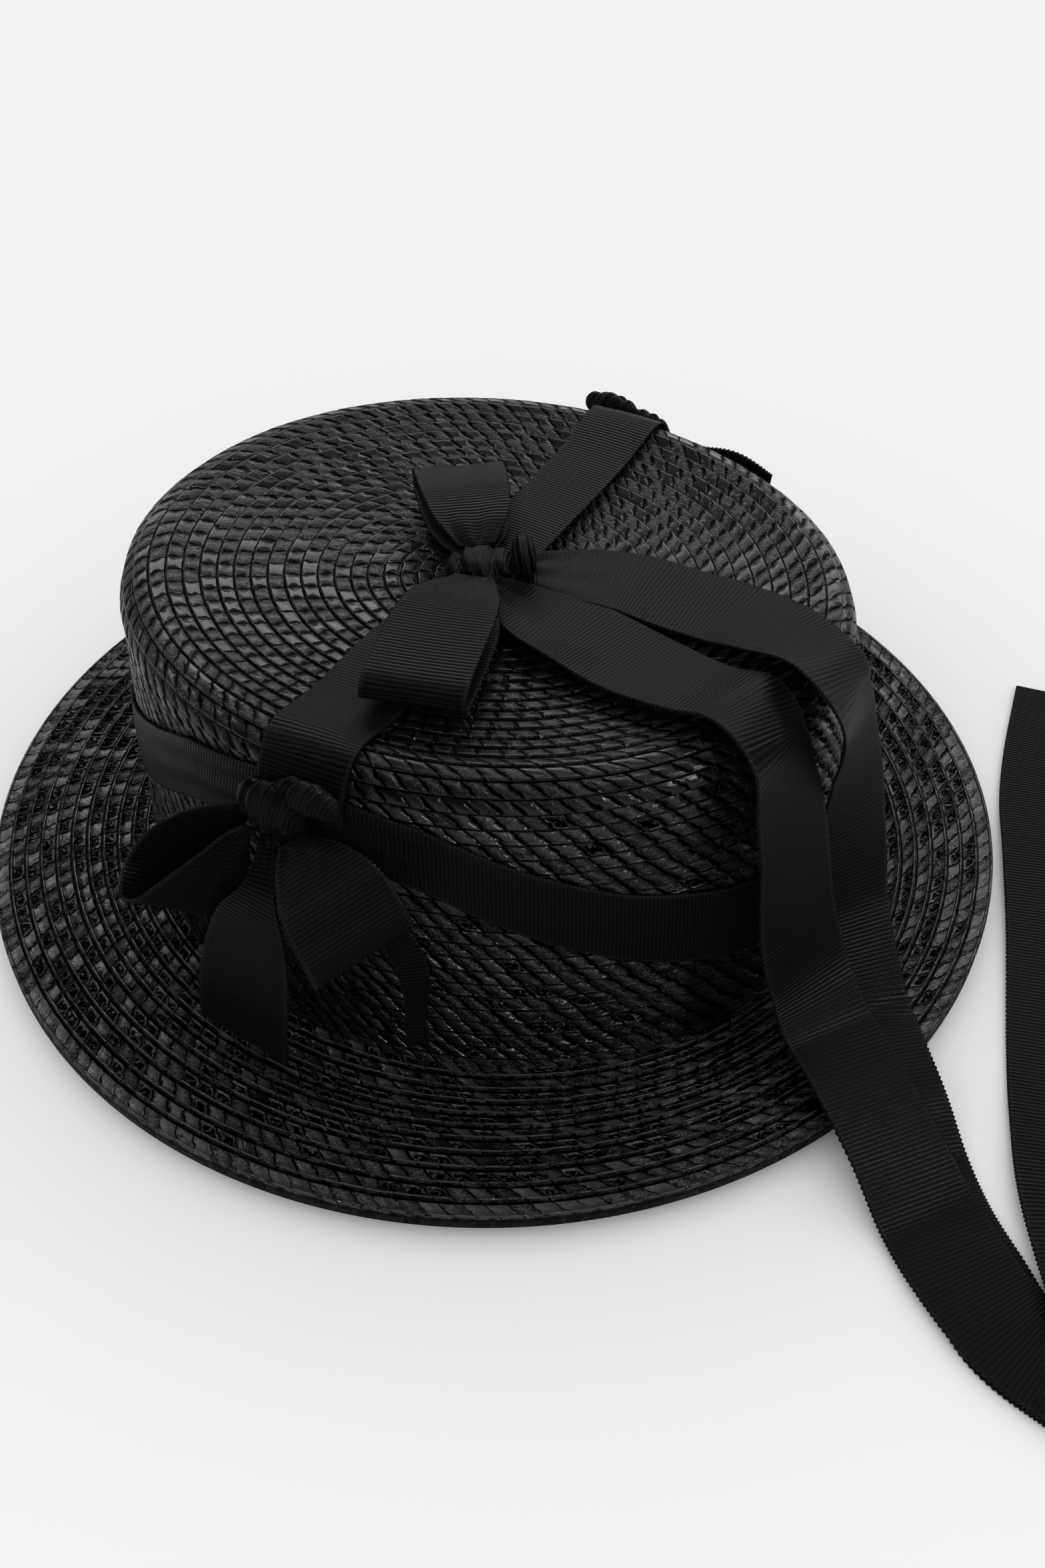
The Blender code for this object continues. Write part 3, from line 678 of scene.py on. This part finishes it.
def eased(values):
    """Values round the band with their corners rounded off."""
    kernel = np.hanning(BAND_EASE) / np.hanning(BAND_EASE).sum()
    thrice = np.convolve(np.tile(values[:-1], 3), kernel, "same")
    return thrice[BAND_STATIONS:][: BAND_STATIONS + 1]


def band_edge(side):
    """Places of the band's high edge, or of its low edge where side is -1."""
    reach = reach_at(CROWN_HEIGHT * band_height + RIBBON_WIDTH * band_spread * side / 2)
    return hat_place(band_angle, reach) + hat_normal(band_angle, reach) * FIRST_LAYER


band_degrees = np.linspace(0, 360, BAND_STATIONS + 1)
band_angle = np.radians(band_degrees)
away = np.abs((band_degrees - BOW_ANGLE + 90) % 180 - 90)
row_away, row_height, row_spread = np.array(BAND_ROWS).T
band_height = eased(np.interp(away, row_away, row_height))
band_spread = eased(np.interp(away, row_away, row_spread))
low_edge = band_edge(-1)
high_edge = band_edge(1)
centre = (low_edge + high_edge) / 2
across = (low_edge - high_edge) / 2
normal = hat_normal(band_angle, reach_at(CROWN_HEIGHT * band_height))
gathers = BAND_GATHER * np.clip(1 - away / BAND_GATHER_DEGREES, 0, 1)
hat_band, length = ribbon_sheet(
    "band_ribbon", centre, across, normal, BAND_CAMBER, gathers, closed=True
)
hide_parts("hat_band")

# Crown strap: a length of the same ribbon over the tip from one side bow to the other.
# It bends down over the rim and the band at both ends, where the bows are tied on.
CAMBER = 0.0003
STRAP_GATHER = 0.0004


def smooth(points, shares):
    """Places on a smooth curve through points, at shares of its length in points."""
    points = np.asarray(points, float)
    if points.ndim == 1:
        points = points[:, None]
    at = np.clip(shares, 0, 1) * (len(points) - 1)
    k = np.minimum(at.astype(int), len(points) - 2)
    t = (at - k)[:, None]
    before, here = points[np.maximum(k - 1, 0)], points[k]
    there, after = points[k + 1], points[np.minimum(k + 2, len(points) - 1)]
    bend = (2 * before - 5 * here + 4 * there - after) * t**2
    bend = bend + (3 * here - before - 3 * there + after) * t**3
    return 0.5 * (2 * here + (there - before) * t + bend)


def stations_between(places, acrosses, spreads):
    """Stations half a rib apart along a smooth curve through places."""
    places = np.asarray(places)
    length = np.linalg.norm(np.diff(places, axis=0), axis=1).sum()
    shares = np.linspace(0, 1, round(length / RIB_PITCH * 2) + 1)
    run = smooth(places, shares + 0.01) - smooth(places, shares - 0.01)
    across = smooth(acrosses, shares)
    across = across - run * ((across * run).sum(1) / (run * run).sum(1))[:, None]
    across = unit(across)
    half = across * (RIBBON_WIDTH / 2 * smooth(spreads, shares))
    return smooth(places, shares), half, unit(np.cross(run, across))


def drape(rows):
    """Stations of a ribbon that lies or hangs on the hat or floor.

    Rows: angle in degrees, reach, lift off the surface in layers, width as a share of
    the ribbon's, and turn in degrees about its own length.
    """
    angle, reach, lift, spreads, turn = np.array(rows, float).T
    angle = np.radians(angle)
    normals = hat_normal(angle, reach)
    on_floor = np.clip((reach - 3) / 0.2, 0, 1)
    lifted = FIRST_LAYER - STRAW_LIFT * on_floor + LAYER * lift
    places = hat_place(angle, reach) + normals * lifted[:, None]
    acrosses = []
    for k in range(len(rows)):
        before, after = max(k - 1, 0), min(k + 1, len(rows) - 1)
        facing = normals[before] + normals[k] + normals[after]
        run = places[after] - places[before]
        turned = Quaternion(Vector(run).normalized(), math.radians(turn[k]))
        acrosses.append(turned @ Vector(np.cross(facing, run)).normalized())
    return stations_between(places, np.array(acrosses), spreads)


STRAP_ROWS = (
    # degrees, reach, lift, width, turn
    (243, 1.2, 1.1, 0.8, 0),
    (243, 1.12, 1.2, 0.86, 0),
    (243, 1.06, 0.6, 0.88, 0),
    (242.6, 1.0, 0.2, 0.9, 0),
    (242.5, 0.8, 0.4, 0.9, 0),
    (242, 0.5, 1.2, 0.9, 0),
    (244, 0.2, 1.0, 0.8, 0),
    (62, 0.1, 1.0, 0.76, 0),
    (60, 0.4, 1.4, 0.76, 0),
    (60, 0.75, 0.5, 0.78, 0),
    (60, 1.0, 0.2, 0.82, 0),
    (60, 1.06, 0.6, 0.82, 0),
    (60, 1.12, 1.2, 0.8, 0),
    (60, 1.2, 1.1, 0.8, 0),
)
centre, across, normal = drape(STRAP_ROWS)
gathers = STRAP_GATHER * np.abs(np.linspace(-1, 1, len(centre))) ** 6
strap, length = ribbon_sheet("strap_ribbon", centre, across, normal, CAMBER, gathers)
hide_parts("crown_strap")

# Middle bow: a small bow on the tip, tied over the strap, with one loop lying back and one forward.
# Each loop is gathered into the knot, which is the ribbon wrapped once round the middle.
KNOT_SIZES = (0.0088, 0.0068, 0.0040)
KNOT_OUT = KNOT_SIZES[2]
KNOT_AROUND = 96
KNOT_ALONG = 56
RIBS_A_TURN = 8
LOOP_GATHER = 0.0008
LOOP_GATHER_RUN = 0.2
LOOP_GATHER_STEEP = 6
UP = np.array((0.0, 0.0, 1.0))


def wrapped_knot(name, middle, right, down, off, at, sizes):
    """The ribbon wrapped round a bow's middle, as a soft lump with lobes and folds.

    At is how far it lies to the right, down and off from the bow's middle. Sizes are how
    far it reaches in those three ways. Two creases part it into lobes.
    """
    mesh, column, ring = flat_grid(name, KNOT_AROUND, KNOT_ALONG)
    turn = column / KNOT_AROUND * math.tau
    side = ring / KNOT_ALONG * 2 - 1
    bulge = np.clip(1 - np.abs(side) ** 2.6, 0, 1) ** 0.5
    crease = side + 0.22 * np.sin(turn)
    deep = 0.34 * np.exp(-((crease + 0.42) / 0.10) ** 2)
    shallow = 0.22 * np.exp(-((crease - 0.5) / 0.09) ** 2)
    folds = 0.035 * np.sin(crease * 17) + 0.03 * np.sin(crease * 9 + 2 * turn)
    radius = bulge * (1 - deep - shallow + folds)
    lean = 0.04 * np.sin(turn) * bulge
    to_right = at[0] + sizes[0] * (side + lean)
    to_down = at[1] + sizes[1] * radius * np.cos(turn)
    to_off = at[2] + sizes[2] * radius * np.sin(turn)
    places = middle + right * to_right[:, None] + down * to_down[:, None] + off * to_off[:, None]
    corner = corners_of(mesh)
    ribs = side[corner] * sizes[0] / RIB_PITCH - turn[corner] / math.tau * RIBS_A_TURN
    pattern = np.stack((0.5 + 0.45 * np.cos(turn[corner]), ribs), -1)
    piece = finish_mesh(mesh, places, pattern, True, ribbon)
    return piece


def loop(knot, heading, across, rows):
    """Stations of a ribbon that leaves a knot, folds and comes back to it.

    Rows: along and apart in ribbon widths, and width as a share of the ribbon's.
    """
    along, apart, spreads = np.array(rows).T
    heading = unit(np.array(heading, float))
    across = unit(across - heading * np.dot(across, heading))
    apart_way = np.cross(across, heading)
    places = knot + (heading * along[:, None] + apart_way * apart[:, None]) * RIBBON_WIDTH
    return stations_between(places, np.tile(across, (len(rows), 1)), spreads)


def gather_ends(count, height):
    """Heights of the folds that run out from a knot at both ends of a loop."""
    share = np.linspace(0, 1, count)
    from_knot = np.minimum(share, 1 - share) / LOOP_GATHER_RUN
    return height * np.clip(1 - from_knot, 0, 1) * np.clip(from_knot * LOOP_GATHER_STEEP, 0, 1)


TOP_KNOT_ANGLE = math.radians(-94)
TOP_KNOT_REACH = 0.07
TOP_FOLD_AT = (0.0108, -0.0015, 0.0008)
TOP_FOLD_SIZES = (0.0030, 0.0085, 0.0050)
top_knot = hat_place(TOP_KNOT_ANGLE, TOP_KNOT_REACH) + UP * (FIRST_LAYER + 2 * LAYER + KNOT_OUT)
top_right = unit(np.array((1, 0.1, 0)))
top_down = -np.cross(UP, top_right)
for name, at, sizes in (
    ("middle_knot", (0, 0, 0), KNOT_SIZES),
    ("middle_knot_fold", TOP_FOLD_AT, TOP_FOLD_SIZES),
):
    piece = wrapped_knot(name, top_knot, top_right, top_down, UP, at, sizes)
    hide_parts("top_bow_knot")
TOP_LOOP_BACK_ROWS = (
    # along, apart, width
    (0.285, 0.06, 0.36),
    (0.62, 0.17, 0.72),
    (1.05, 0.22, 0.9),
    (1.6, 0.14, 0.95),
    (1.8, 0.02, 0.95),
    (1.62, -0.1, 0.95),
    (1.05, -0.1, 0.88),
    (0.62, -0.08, 0.7),
    (0.285, -0.05, 0.36),
)
TOP_LOOP_FRONT_ROWS = (
    # along, apart, width
    (0.295, 0.06, 0.36),
    (0.62, 0.16, 0.66),
    (1.1, 0.22, 0.94),
    (2.05, 0.14, 0.98),
    (2.28, 0.0, 0.98),
    (2.1, -0.12, 0.98),
    (1.1, -0.1, 0.92),
    (0.62, -0.08, 0.66),
    (0.295, -0.05, 0.36),
)
for side, heading, across_way, rows in (
    ("back", (-0.16, 1, 0), (1, 0, 0), TOP_LOOP_BACK_ROWS),
    ("front", (-0.25, -0.97, 0.06), (-1, 0, 0), TOP_LOOP_FRONT_ROWS),
):
    centre, across, normal = loop(top_knot, heading, across_way, rows)
    gathers = gather_ends(len(centre), LOOP_GATHER)
    piece, length = ribbon_sheet(f"middle_loop_{side}", centre, across, normal, CAMBER, gathers)
    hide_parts(f"top_bow_loop_{side}")

# Long tails: the ties run from the middle bow over the rim, hang off the wall and lie along the floor.
# The front one folds over far from the hat and comes back beside it to its cut end.
TIE_TAIL_FRONT_ROWS = (
    # degrees, reach, lift, width, turn
    (-97, 0.175, 5.6, 0.10, 0),
    (-77, 0.19, 4.8, 0.34, 0),
    (-65, 0.245, 3.6, 0.62, 0),
    (-58, 0.335, 3.2, 0.84, 0),
    (-52, 0.46, 3.0, 0.97, 0),
    (-49.8, 0.66, 2.6, 1.00, 0),
    (-47.6, 0.86, 2.4, 1.00, -6),
    (-46, 1.00, 2.6, 1.00, -10),
    (-46.7, 1.08, 3.6, 1.00, -20),
    (-46.3, 1.18, 4.8, 1.00, -13),
    (-45.1, 1.35, 6.2, 1.00, -7),
    (-45.4, 1.58, 9.2, 1.00, 0),
    (-45.2, 1.74, 13.2, 1.00, 2),
    (-48.1, 2.63, 6.6, 1.00, 0),
    (-50.2, 2.89, 4.2, 1.00, -8),
    (-52.5, 3.10, 4.0, 1.00, -6),
    (-54, 3.21, 1.5, 1.00, 0),
    (-55.2, 3.31, 1.2, 1.00, 0),
    (-55.7, 3.42, 1.2, 1.00, 0),
    (-55, 3.52, 1.2, 1.00, 0),
    (-54.1, 3.60, 1.2, 1.00, 0),
)
TIE_END_ROWS = (
    # degrees, reach, lift, width, turn
    (-50.3, 3.49, 3.2, 1.00, 0),
    (-45.2, 3.35, 2.2, 1.00, 0),
    (-39.3, 3.26, 0.8, 1.00, 0),
    (-32, 3.19, 0.1, 1.00, 0),
    (-19.2, 3.13, 0.1, 1.00, 0),
    (-8, 3.12, 0.1, 1.00, 0),
    (0, 3.14, 0.1, 1.00, 0),
    (7.8, 3.20, 0.1, 1.00, 0),
    (15.9, 3.31, 0.1, 1.00, 0),
)
TIE_TAIL_REAR_ROWS = (
    # degrees, reach, lift, width, turn
    (-28, 0.115, 4.0, 0.40, 0),
    (-17, 0.19, 3.4, 0.62, 0),
    (-14, 0.31, 3.2, 0.85, 0),
    (-15, 0.45, 3.0, 0.97, 0),
    (-18, 0.58, 2.2, 1.00, 0),
    (-21, 0.75, 1.6, 1.00, 0),
    (-25, 0.90, 2.0, 1.00, -3),
    (-29.5, 1.035, 2.6, 1.00, -8),
    (-31.6, 1.10, 5.0, 1.00, -12),
    (-31, 1.24, 5.4, 1.00, 0),
    (-30.6, 1.40, 6.0, 1.00, 12),
    (-32, 1.52, 7.2, 1.00, 20),
    (-34.6, 1.71, 10.4, 1.00, 18),
    (-40.4, 2.60, 3.2, 1.00, 6),
    (-44.2, 2.78, 0.9, 1.00, -1),
    (-48.5, 3.04, 0.8, 1.00, -5),
    (-51, 3.13, 1.0, 1.00, -5),
    (-53.2, 3.22, 0.3, 1.00, 0),
    (-54.6, 3.32, 0.1, 1.00, 0),
    (-55.7, 3.42, 0.1, 1.00, 0),
    (-55, 3.52, 0.1, 1.00, 0),
    (-54.1, 3.60, 0.1, 1.00, 0),
    (-52.6, 3.74, 0.1, 1.00, 0),
    (-51.2, 3.92, 0.1, 1.00, 0),
)
FOLD_BEND = 0.0014
FOLD_RUN = 0.016
FOLD_STATIONS = 13
RUN_UP_STATIONS = 12
JOIN_STATIONS = 33
TAIL_GATHER = 0.0008


def gather_start(count, share):
    """Heights of the folds that run out from a knot over a share of a tail's length."""
    return TAIL_GATHER * np.clip(1 - np.linspace(0, 1, count) / share, 0, 1)


def fold_over(centre, half, normal, towards):
    """Stations of a ribbon that folds flat over itself and turns towards a place."""
    going = unit(centre[-1] - centre[-RUN_UP_STATIONS])
    start = centre[-1] + going * FOLD_RUN
    back = (towards - start) * (1, 1, 0)
    crease = unit(going + unit(back))
    outer = unit(going - crease * np.dot(going, crease))
    skewed = crease * (RIBBON_WIDTH / 2 / abs(np.dot(crease, unit(half[-1]))))
    drift = np.dot(going, crease) / np.dot(going, outer)
    bend = np.linspace(0, math.pi, FOLD_STATIONS)[:, None]
    places = start + crease * (drift * FOLD_BEND * bend) + outer * (FOLD_BEND * np.sin(bend))
    places = places + UP * (FOLD_BEND * (1 - np.cos(bend)))
    faces = normal[-1] * np.cos(bend) - outer * np.sin(bend)
    return places, np.tile(skewed, (FOLD_STATIONS, 1)), faces


def join(before, after):
    """Stations that carry one stretch of ribbon over into the next."""
    return [np.linspace(a[-1], b[0], JOIN_STATIONS)[1:-1] for a, b in zip(before, after)]


centre, across, normal = drape(TIE_TAIL_REAR_ROWS)
gathers = gather_start(len(centre), share=0.12)
rear_tail, length = ribbon_sheet("long_tail_rear", centre, across, normal, 0.0, gathers)
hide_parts("tie_tail_rear")

going_out = drape(TIE_TAIL_FRONT_ROWS)
centre, across, normal = drape(TIE_END_ROWS)
turned_over = (centre, -across, -normal)
fold = fold_over(*going_out, centre[0])
stretches = (going_out, join(going_out, fold), fold, join(fold, turned_over), turned_over)
centre, across, normal = (np.vstack(parts) for parts in zip(*stretches))
gathers = gather_start(len(centre), share=0.08)
front_tail, length = ribbon_sheet("long_tail_front", centre, across, normal, 0.0, gathers)
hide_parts("tie_tail_front")

# Side bows: a bow over each end of the strap, the far one the near one turned half round the crown.
# Each has two loops and two tails, drawn tight into a wrapped knot.
BOW_HEIGHT = 0.885
SIDE_LOOP_GATHER = 0.0009
SIDE_FOLD_AT = (0.0100, -0.0060, -0.0010)
SIDE_FOLD_SIZES = (0.0085, 0.0042, 0.0030)
SIDE_LOOP_LEFT_ROWS = (
    # along, apart, width
    (0.29, 0.2, 0.2),
    (0.42, 0.28, 0.38),
    (0.66, 0.35, 0.7),
    (1.0, 0.37, 0.92),
    (1.34, 0.28, 0.98),
    (1.54, 0.05, 1.0),
    (1.4, -0.13, 1.0),
    (1.08, -0.16, 0.92),
    (0.72, -0.09, 0.6),
    (0.47, 0.0, 0.3),
    (0.305, -0.02, 0.18),
)
SIDE_LOOP_RIGHT_ROWS = (
    # along, apart, width
    (0.345, 0.05, 0.24),
    (0.6, 0.13, 0.6),
    (0.95, 0.18, 0.92),
    (1.32, 0.18, 1.0),
    (1.54, 0.06, 1.0),
    (1.5, -0.12, 1.0),
    (1.26, -0.28, 1.0),
    (0.92, -0.32, 0.94),
    (0.6, -0.22, 0.66),
    (0.345, -0.07, 0.24),
)
SIDE_TAIL_LEFT_ROWS = (
    # right, down, off, width, lean, swing
    (-0.02, 0.09, 0.06, 0.14, 10, 0),
    (0.05, 0.148, 0.25, 0.2, 10, 0),
    (0.07, 0.216, 0.42, 0.36, 8, 0),
    (0.01, 0.34, 0.54, 0.76, 5, 0),
    (-0.07, 0.525, 0.62, 0.96, 2, 0),
    (-0.24, 0.735, 0.58, 1.0, 0, 0),
    (-0.36, 0.902, 0.5, 1.0, 0, 0),
)
BACK_TAIL_LEFT_ROWS = (
    # right, down, off, width, lean, swing
    (-0.42, 0.06, -0.15, 0.4, 90, 0),
    (-0.8, 0.075, -0.19, 0.75, 90, 0),
    (-1.3, 0.058, -0.31, 0.95, 88, 0),
    (-1.74, 0.07, -0.5, 1.0, 84, 0),
)
SIDE_TAIL_RIGHT_ROWS = (
    # right, down, off, width, lean, swing
    (0.08, 0.068, -0.13, 0.3, -10, 0),
    (0.12, 0.148, -0.17, 0.34, -15, 5),
    (0.4, 0.253, -0.2, 0.38, -30, 10),
    (0.8, 0.34, -0.22, 0.36, -35, 15),
    (1.14, 0.448, -0.22, 0.32, -25, 25),
    (1.24, 0.572, -0.22, 0.28, -15, 30),
    (1.22, 0.705, -0.22, 0.18, 0, 30),
    (1.26, 0.834, -0.16, 0.22, 10, 30),
)
# The way that a loop heads and the way across it, each as right, down and off
LOOP_LEFT_WAYS = ((-0.55, 0.72, 0.42), (0.41, 0.55, -0.73))
LOOP_RIGHT_WAYS = ((0.735, 0.636, 0.235), (0.50, -0.24, -0.83))


def spring(knot, right, down, off, rows):
    """Stations of a ribbon that springs from a knot, with its cross direction given.

    Rows: to the right and off in ribbon widths, down as a share of the knot's height, width
    as a share of the ribbon's, and lean and swing in degrees.
    """
    to_right, to_down, to_off, spreads, lean, swing = np.array(rows).T[..., None]
    sideways = (right * to_right + off * to_off) * RIBBON_WIDTH
    places = knot + sideways + down * to_down * knot[2]
    lean, swing = np.radians(lean), np.radians(swing)
    acrosses = (right * np.cos(lean) + down * np.sin(lean)) * np.cos(swing) - off * np.sin(swing)
    return stations_between(places, acrosses, spreads[:, 0])


down = -UP
for side, half_turn, tail_left_rows in (
    ("front", 0, SIDE_TAIL_LEFT_ROWS),
    ("back", 180, BACK_TAIL_LEFT_ROWS),
):
    bow_angle = math.radians(BOW_ANGLE + half_turn)
    reach = reach_at(np.array(CROWN_HEIGHT * BOW_HEIGHT))
    off = hat_normal(bow_angle, reach)
    right = np.array((-math.sin(bow_angle), math.cos(bow_angle), 0))
    middle = hat_place(bow_angle, reach) + off * (2 * SEAM + SOLID_THICK / 2 + 2 * LAYER + KNOT_OUT)
    for name, at, sizes in (
        (f"{side}_knot", (0, 0, 0), KNOT_SIZES),
        (f"{side}_knot_fold", SIDE_FOLD_AT, SIDE_FOLD_SIZES),
    ):
        piece = wrapped_knot(name, middle, right, down, off, at, sizes)
        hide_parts(f"{side}_bow_knot")
    for part, ways, rows in (
        ("loop_left", LOOP_LEFT_WAYS, SIDE_LOOP_LEFT_ROWS),
        ("loop_right", LOOP_RIGHT_WAYS, SIDE_LOOP_RIGHT_ROWS),
    ):
        heading, across_way = (right * way[0] + down * way[1] + off * way[2] for way in ways)
        centre, across, normal = loop(middle, heading, across_way, rows)
        gathers = gather_ends(len(centre), SIDE_LOOP_GATHER)
        piece, length = ribbon_sheet(f"{side}_{part}", centre, across, normal, CAMBER, gathers)
        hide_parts(f"{side}_bow_{part}")
    for part, rows, width in (
        ("tail_left", tail_left_rows, 0.85),
        ("tail_right", SIDE_TAIL_RIGHT_ROWS, 0.42),
    ):
        centre, across, normal = spring(middle, right, down, off, rows)
        gathers = gather_start(len(centre), share=0.3)
        piece, length = ribbon_sheet(f"{side}_{part}", centre, across, normal, 0.0, gathers)
        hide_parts(f"{side}_bow_{part}")

# Floor, light and camera: a pale seamless floor under soft light from the upper left and behind.
# The camera looks down at the hat from the front, as in the photograph.
floor_shape = bmesh.new()
bmesh.ops.create_grid(floor_shape, x_segments=1, y_segments=1, size=6)
floor_mesh = bpy.data.meshes.new("floor")
floor_shape.to_mesh(floor_mesh)
floor_shape.free()
floor = bpy.data.objects.new("floor", floor_mesh)
bpy.context.scene.collection.objects.link(floor)
paper, paper_tree, paper_shader = new_material("pale floor")
feed(paper_tree, paper_shader.inputs["Base Color"], (0.87, 0.87, 0.875, 1))
feed(paper_tree, paper_shader.inputs["Roughness"], 0.9)
feed(paper_tree, paper_shader.inputs["Specular IOR Level"], 0.0)
floor_mesh.materials.append(paper)

world = bpy.data.worlds.new("soft room")
bpy.context.scene.world = world
world.use_nodes = True
world.node_tree.nodes["Background"].inputs["Color"].default_value = (1, 1, 1, 1)
world.node_tree.nodes["Background"].inputs["Strength"].default_value = 1.0
world.cycles_visibility.glossy = False

LIGHTS = (
    # place, side lengths, radiance
    ((0.0, 2.1, 1.15), (2.8, 0.95), 4.6),
    ((0.1, -0.1, 1.8), (1.2, 1.2), 0.6),
    ((-1.3, 0.5, 1.0), (0.25, 0.25), 32.0),
    ((1.2, 1.0, 0.8), (0.25, 0.25), 28.0),
    ((0.35, -0.15, 1.6), (0.12, 0.12), 110.0),
    ((-0.15, 0.2, 1.7), (0.1, 0.1), 140.0),
    ((1.1, -0.5, 0.85), (0.2, 0.2), 150.0),
)
FILL_PLACE = (0.0, -0.75, 0.7)


def area_light(name, place, sides, energy):
    """A rectangular light that faces the hat."""
    light = bpy.data.lights.new(name, "AREA")
    light.shape = "RECTANGLE"
    light.size, light.size_y = sides
    light.energy = energy
    box = bpy.data.objects.new(name, light)
    box.location = place
    box.rotation_euler = (-Vector(place)).to_track_quat("-Z", "Y").to_euler()
    bpy.context.scene.collection.objects.link(box)
    return box


for k, (place, sides, radiance) in enumerate(LIGHTS):
    softbox = area_light(f"softbox_{k}", place, sides, radiance * math.pi * sides[0] * sides[1])
    softbox.visible_diffuse = False
front_fill = area_light("front_fill", FILL_PLACE, sides=(0.8, 0.8), energy=1.0)
front_fill.visible_glossy = False

CAMERA_PLACE = Vector((0.0080, -0.3296, 0.3156))
CAMERA_DOWN = math.radians(42.8)
CAMERA_ROLL = math.radians(-0.29)
LENS_LENGTH = 35.97
lens = bpy.data.cameras.new("camera")
lens.lens = LENS_LENGTH
lens.clip_start = 0.01
camera = bpy.data.objects.new("camera", lens)
camera.location = CAMERA_PLACE + Vector(MIDDLE)
level = Quaternion((1, 0, 0), math.pi / 2 - CAMERA_DOWN)
camera.rotation_euler = (level @ Quaternion((0, 0, 1), CAMERA_ROLL)).to_euler()
bpy.context.scene.collection.objects.link(camera)
bpy.context.scene.camera = camera
bpy.context.scene.view_settings.view_transform = "Standard"
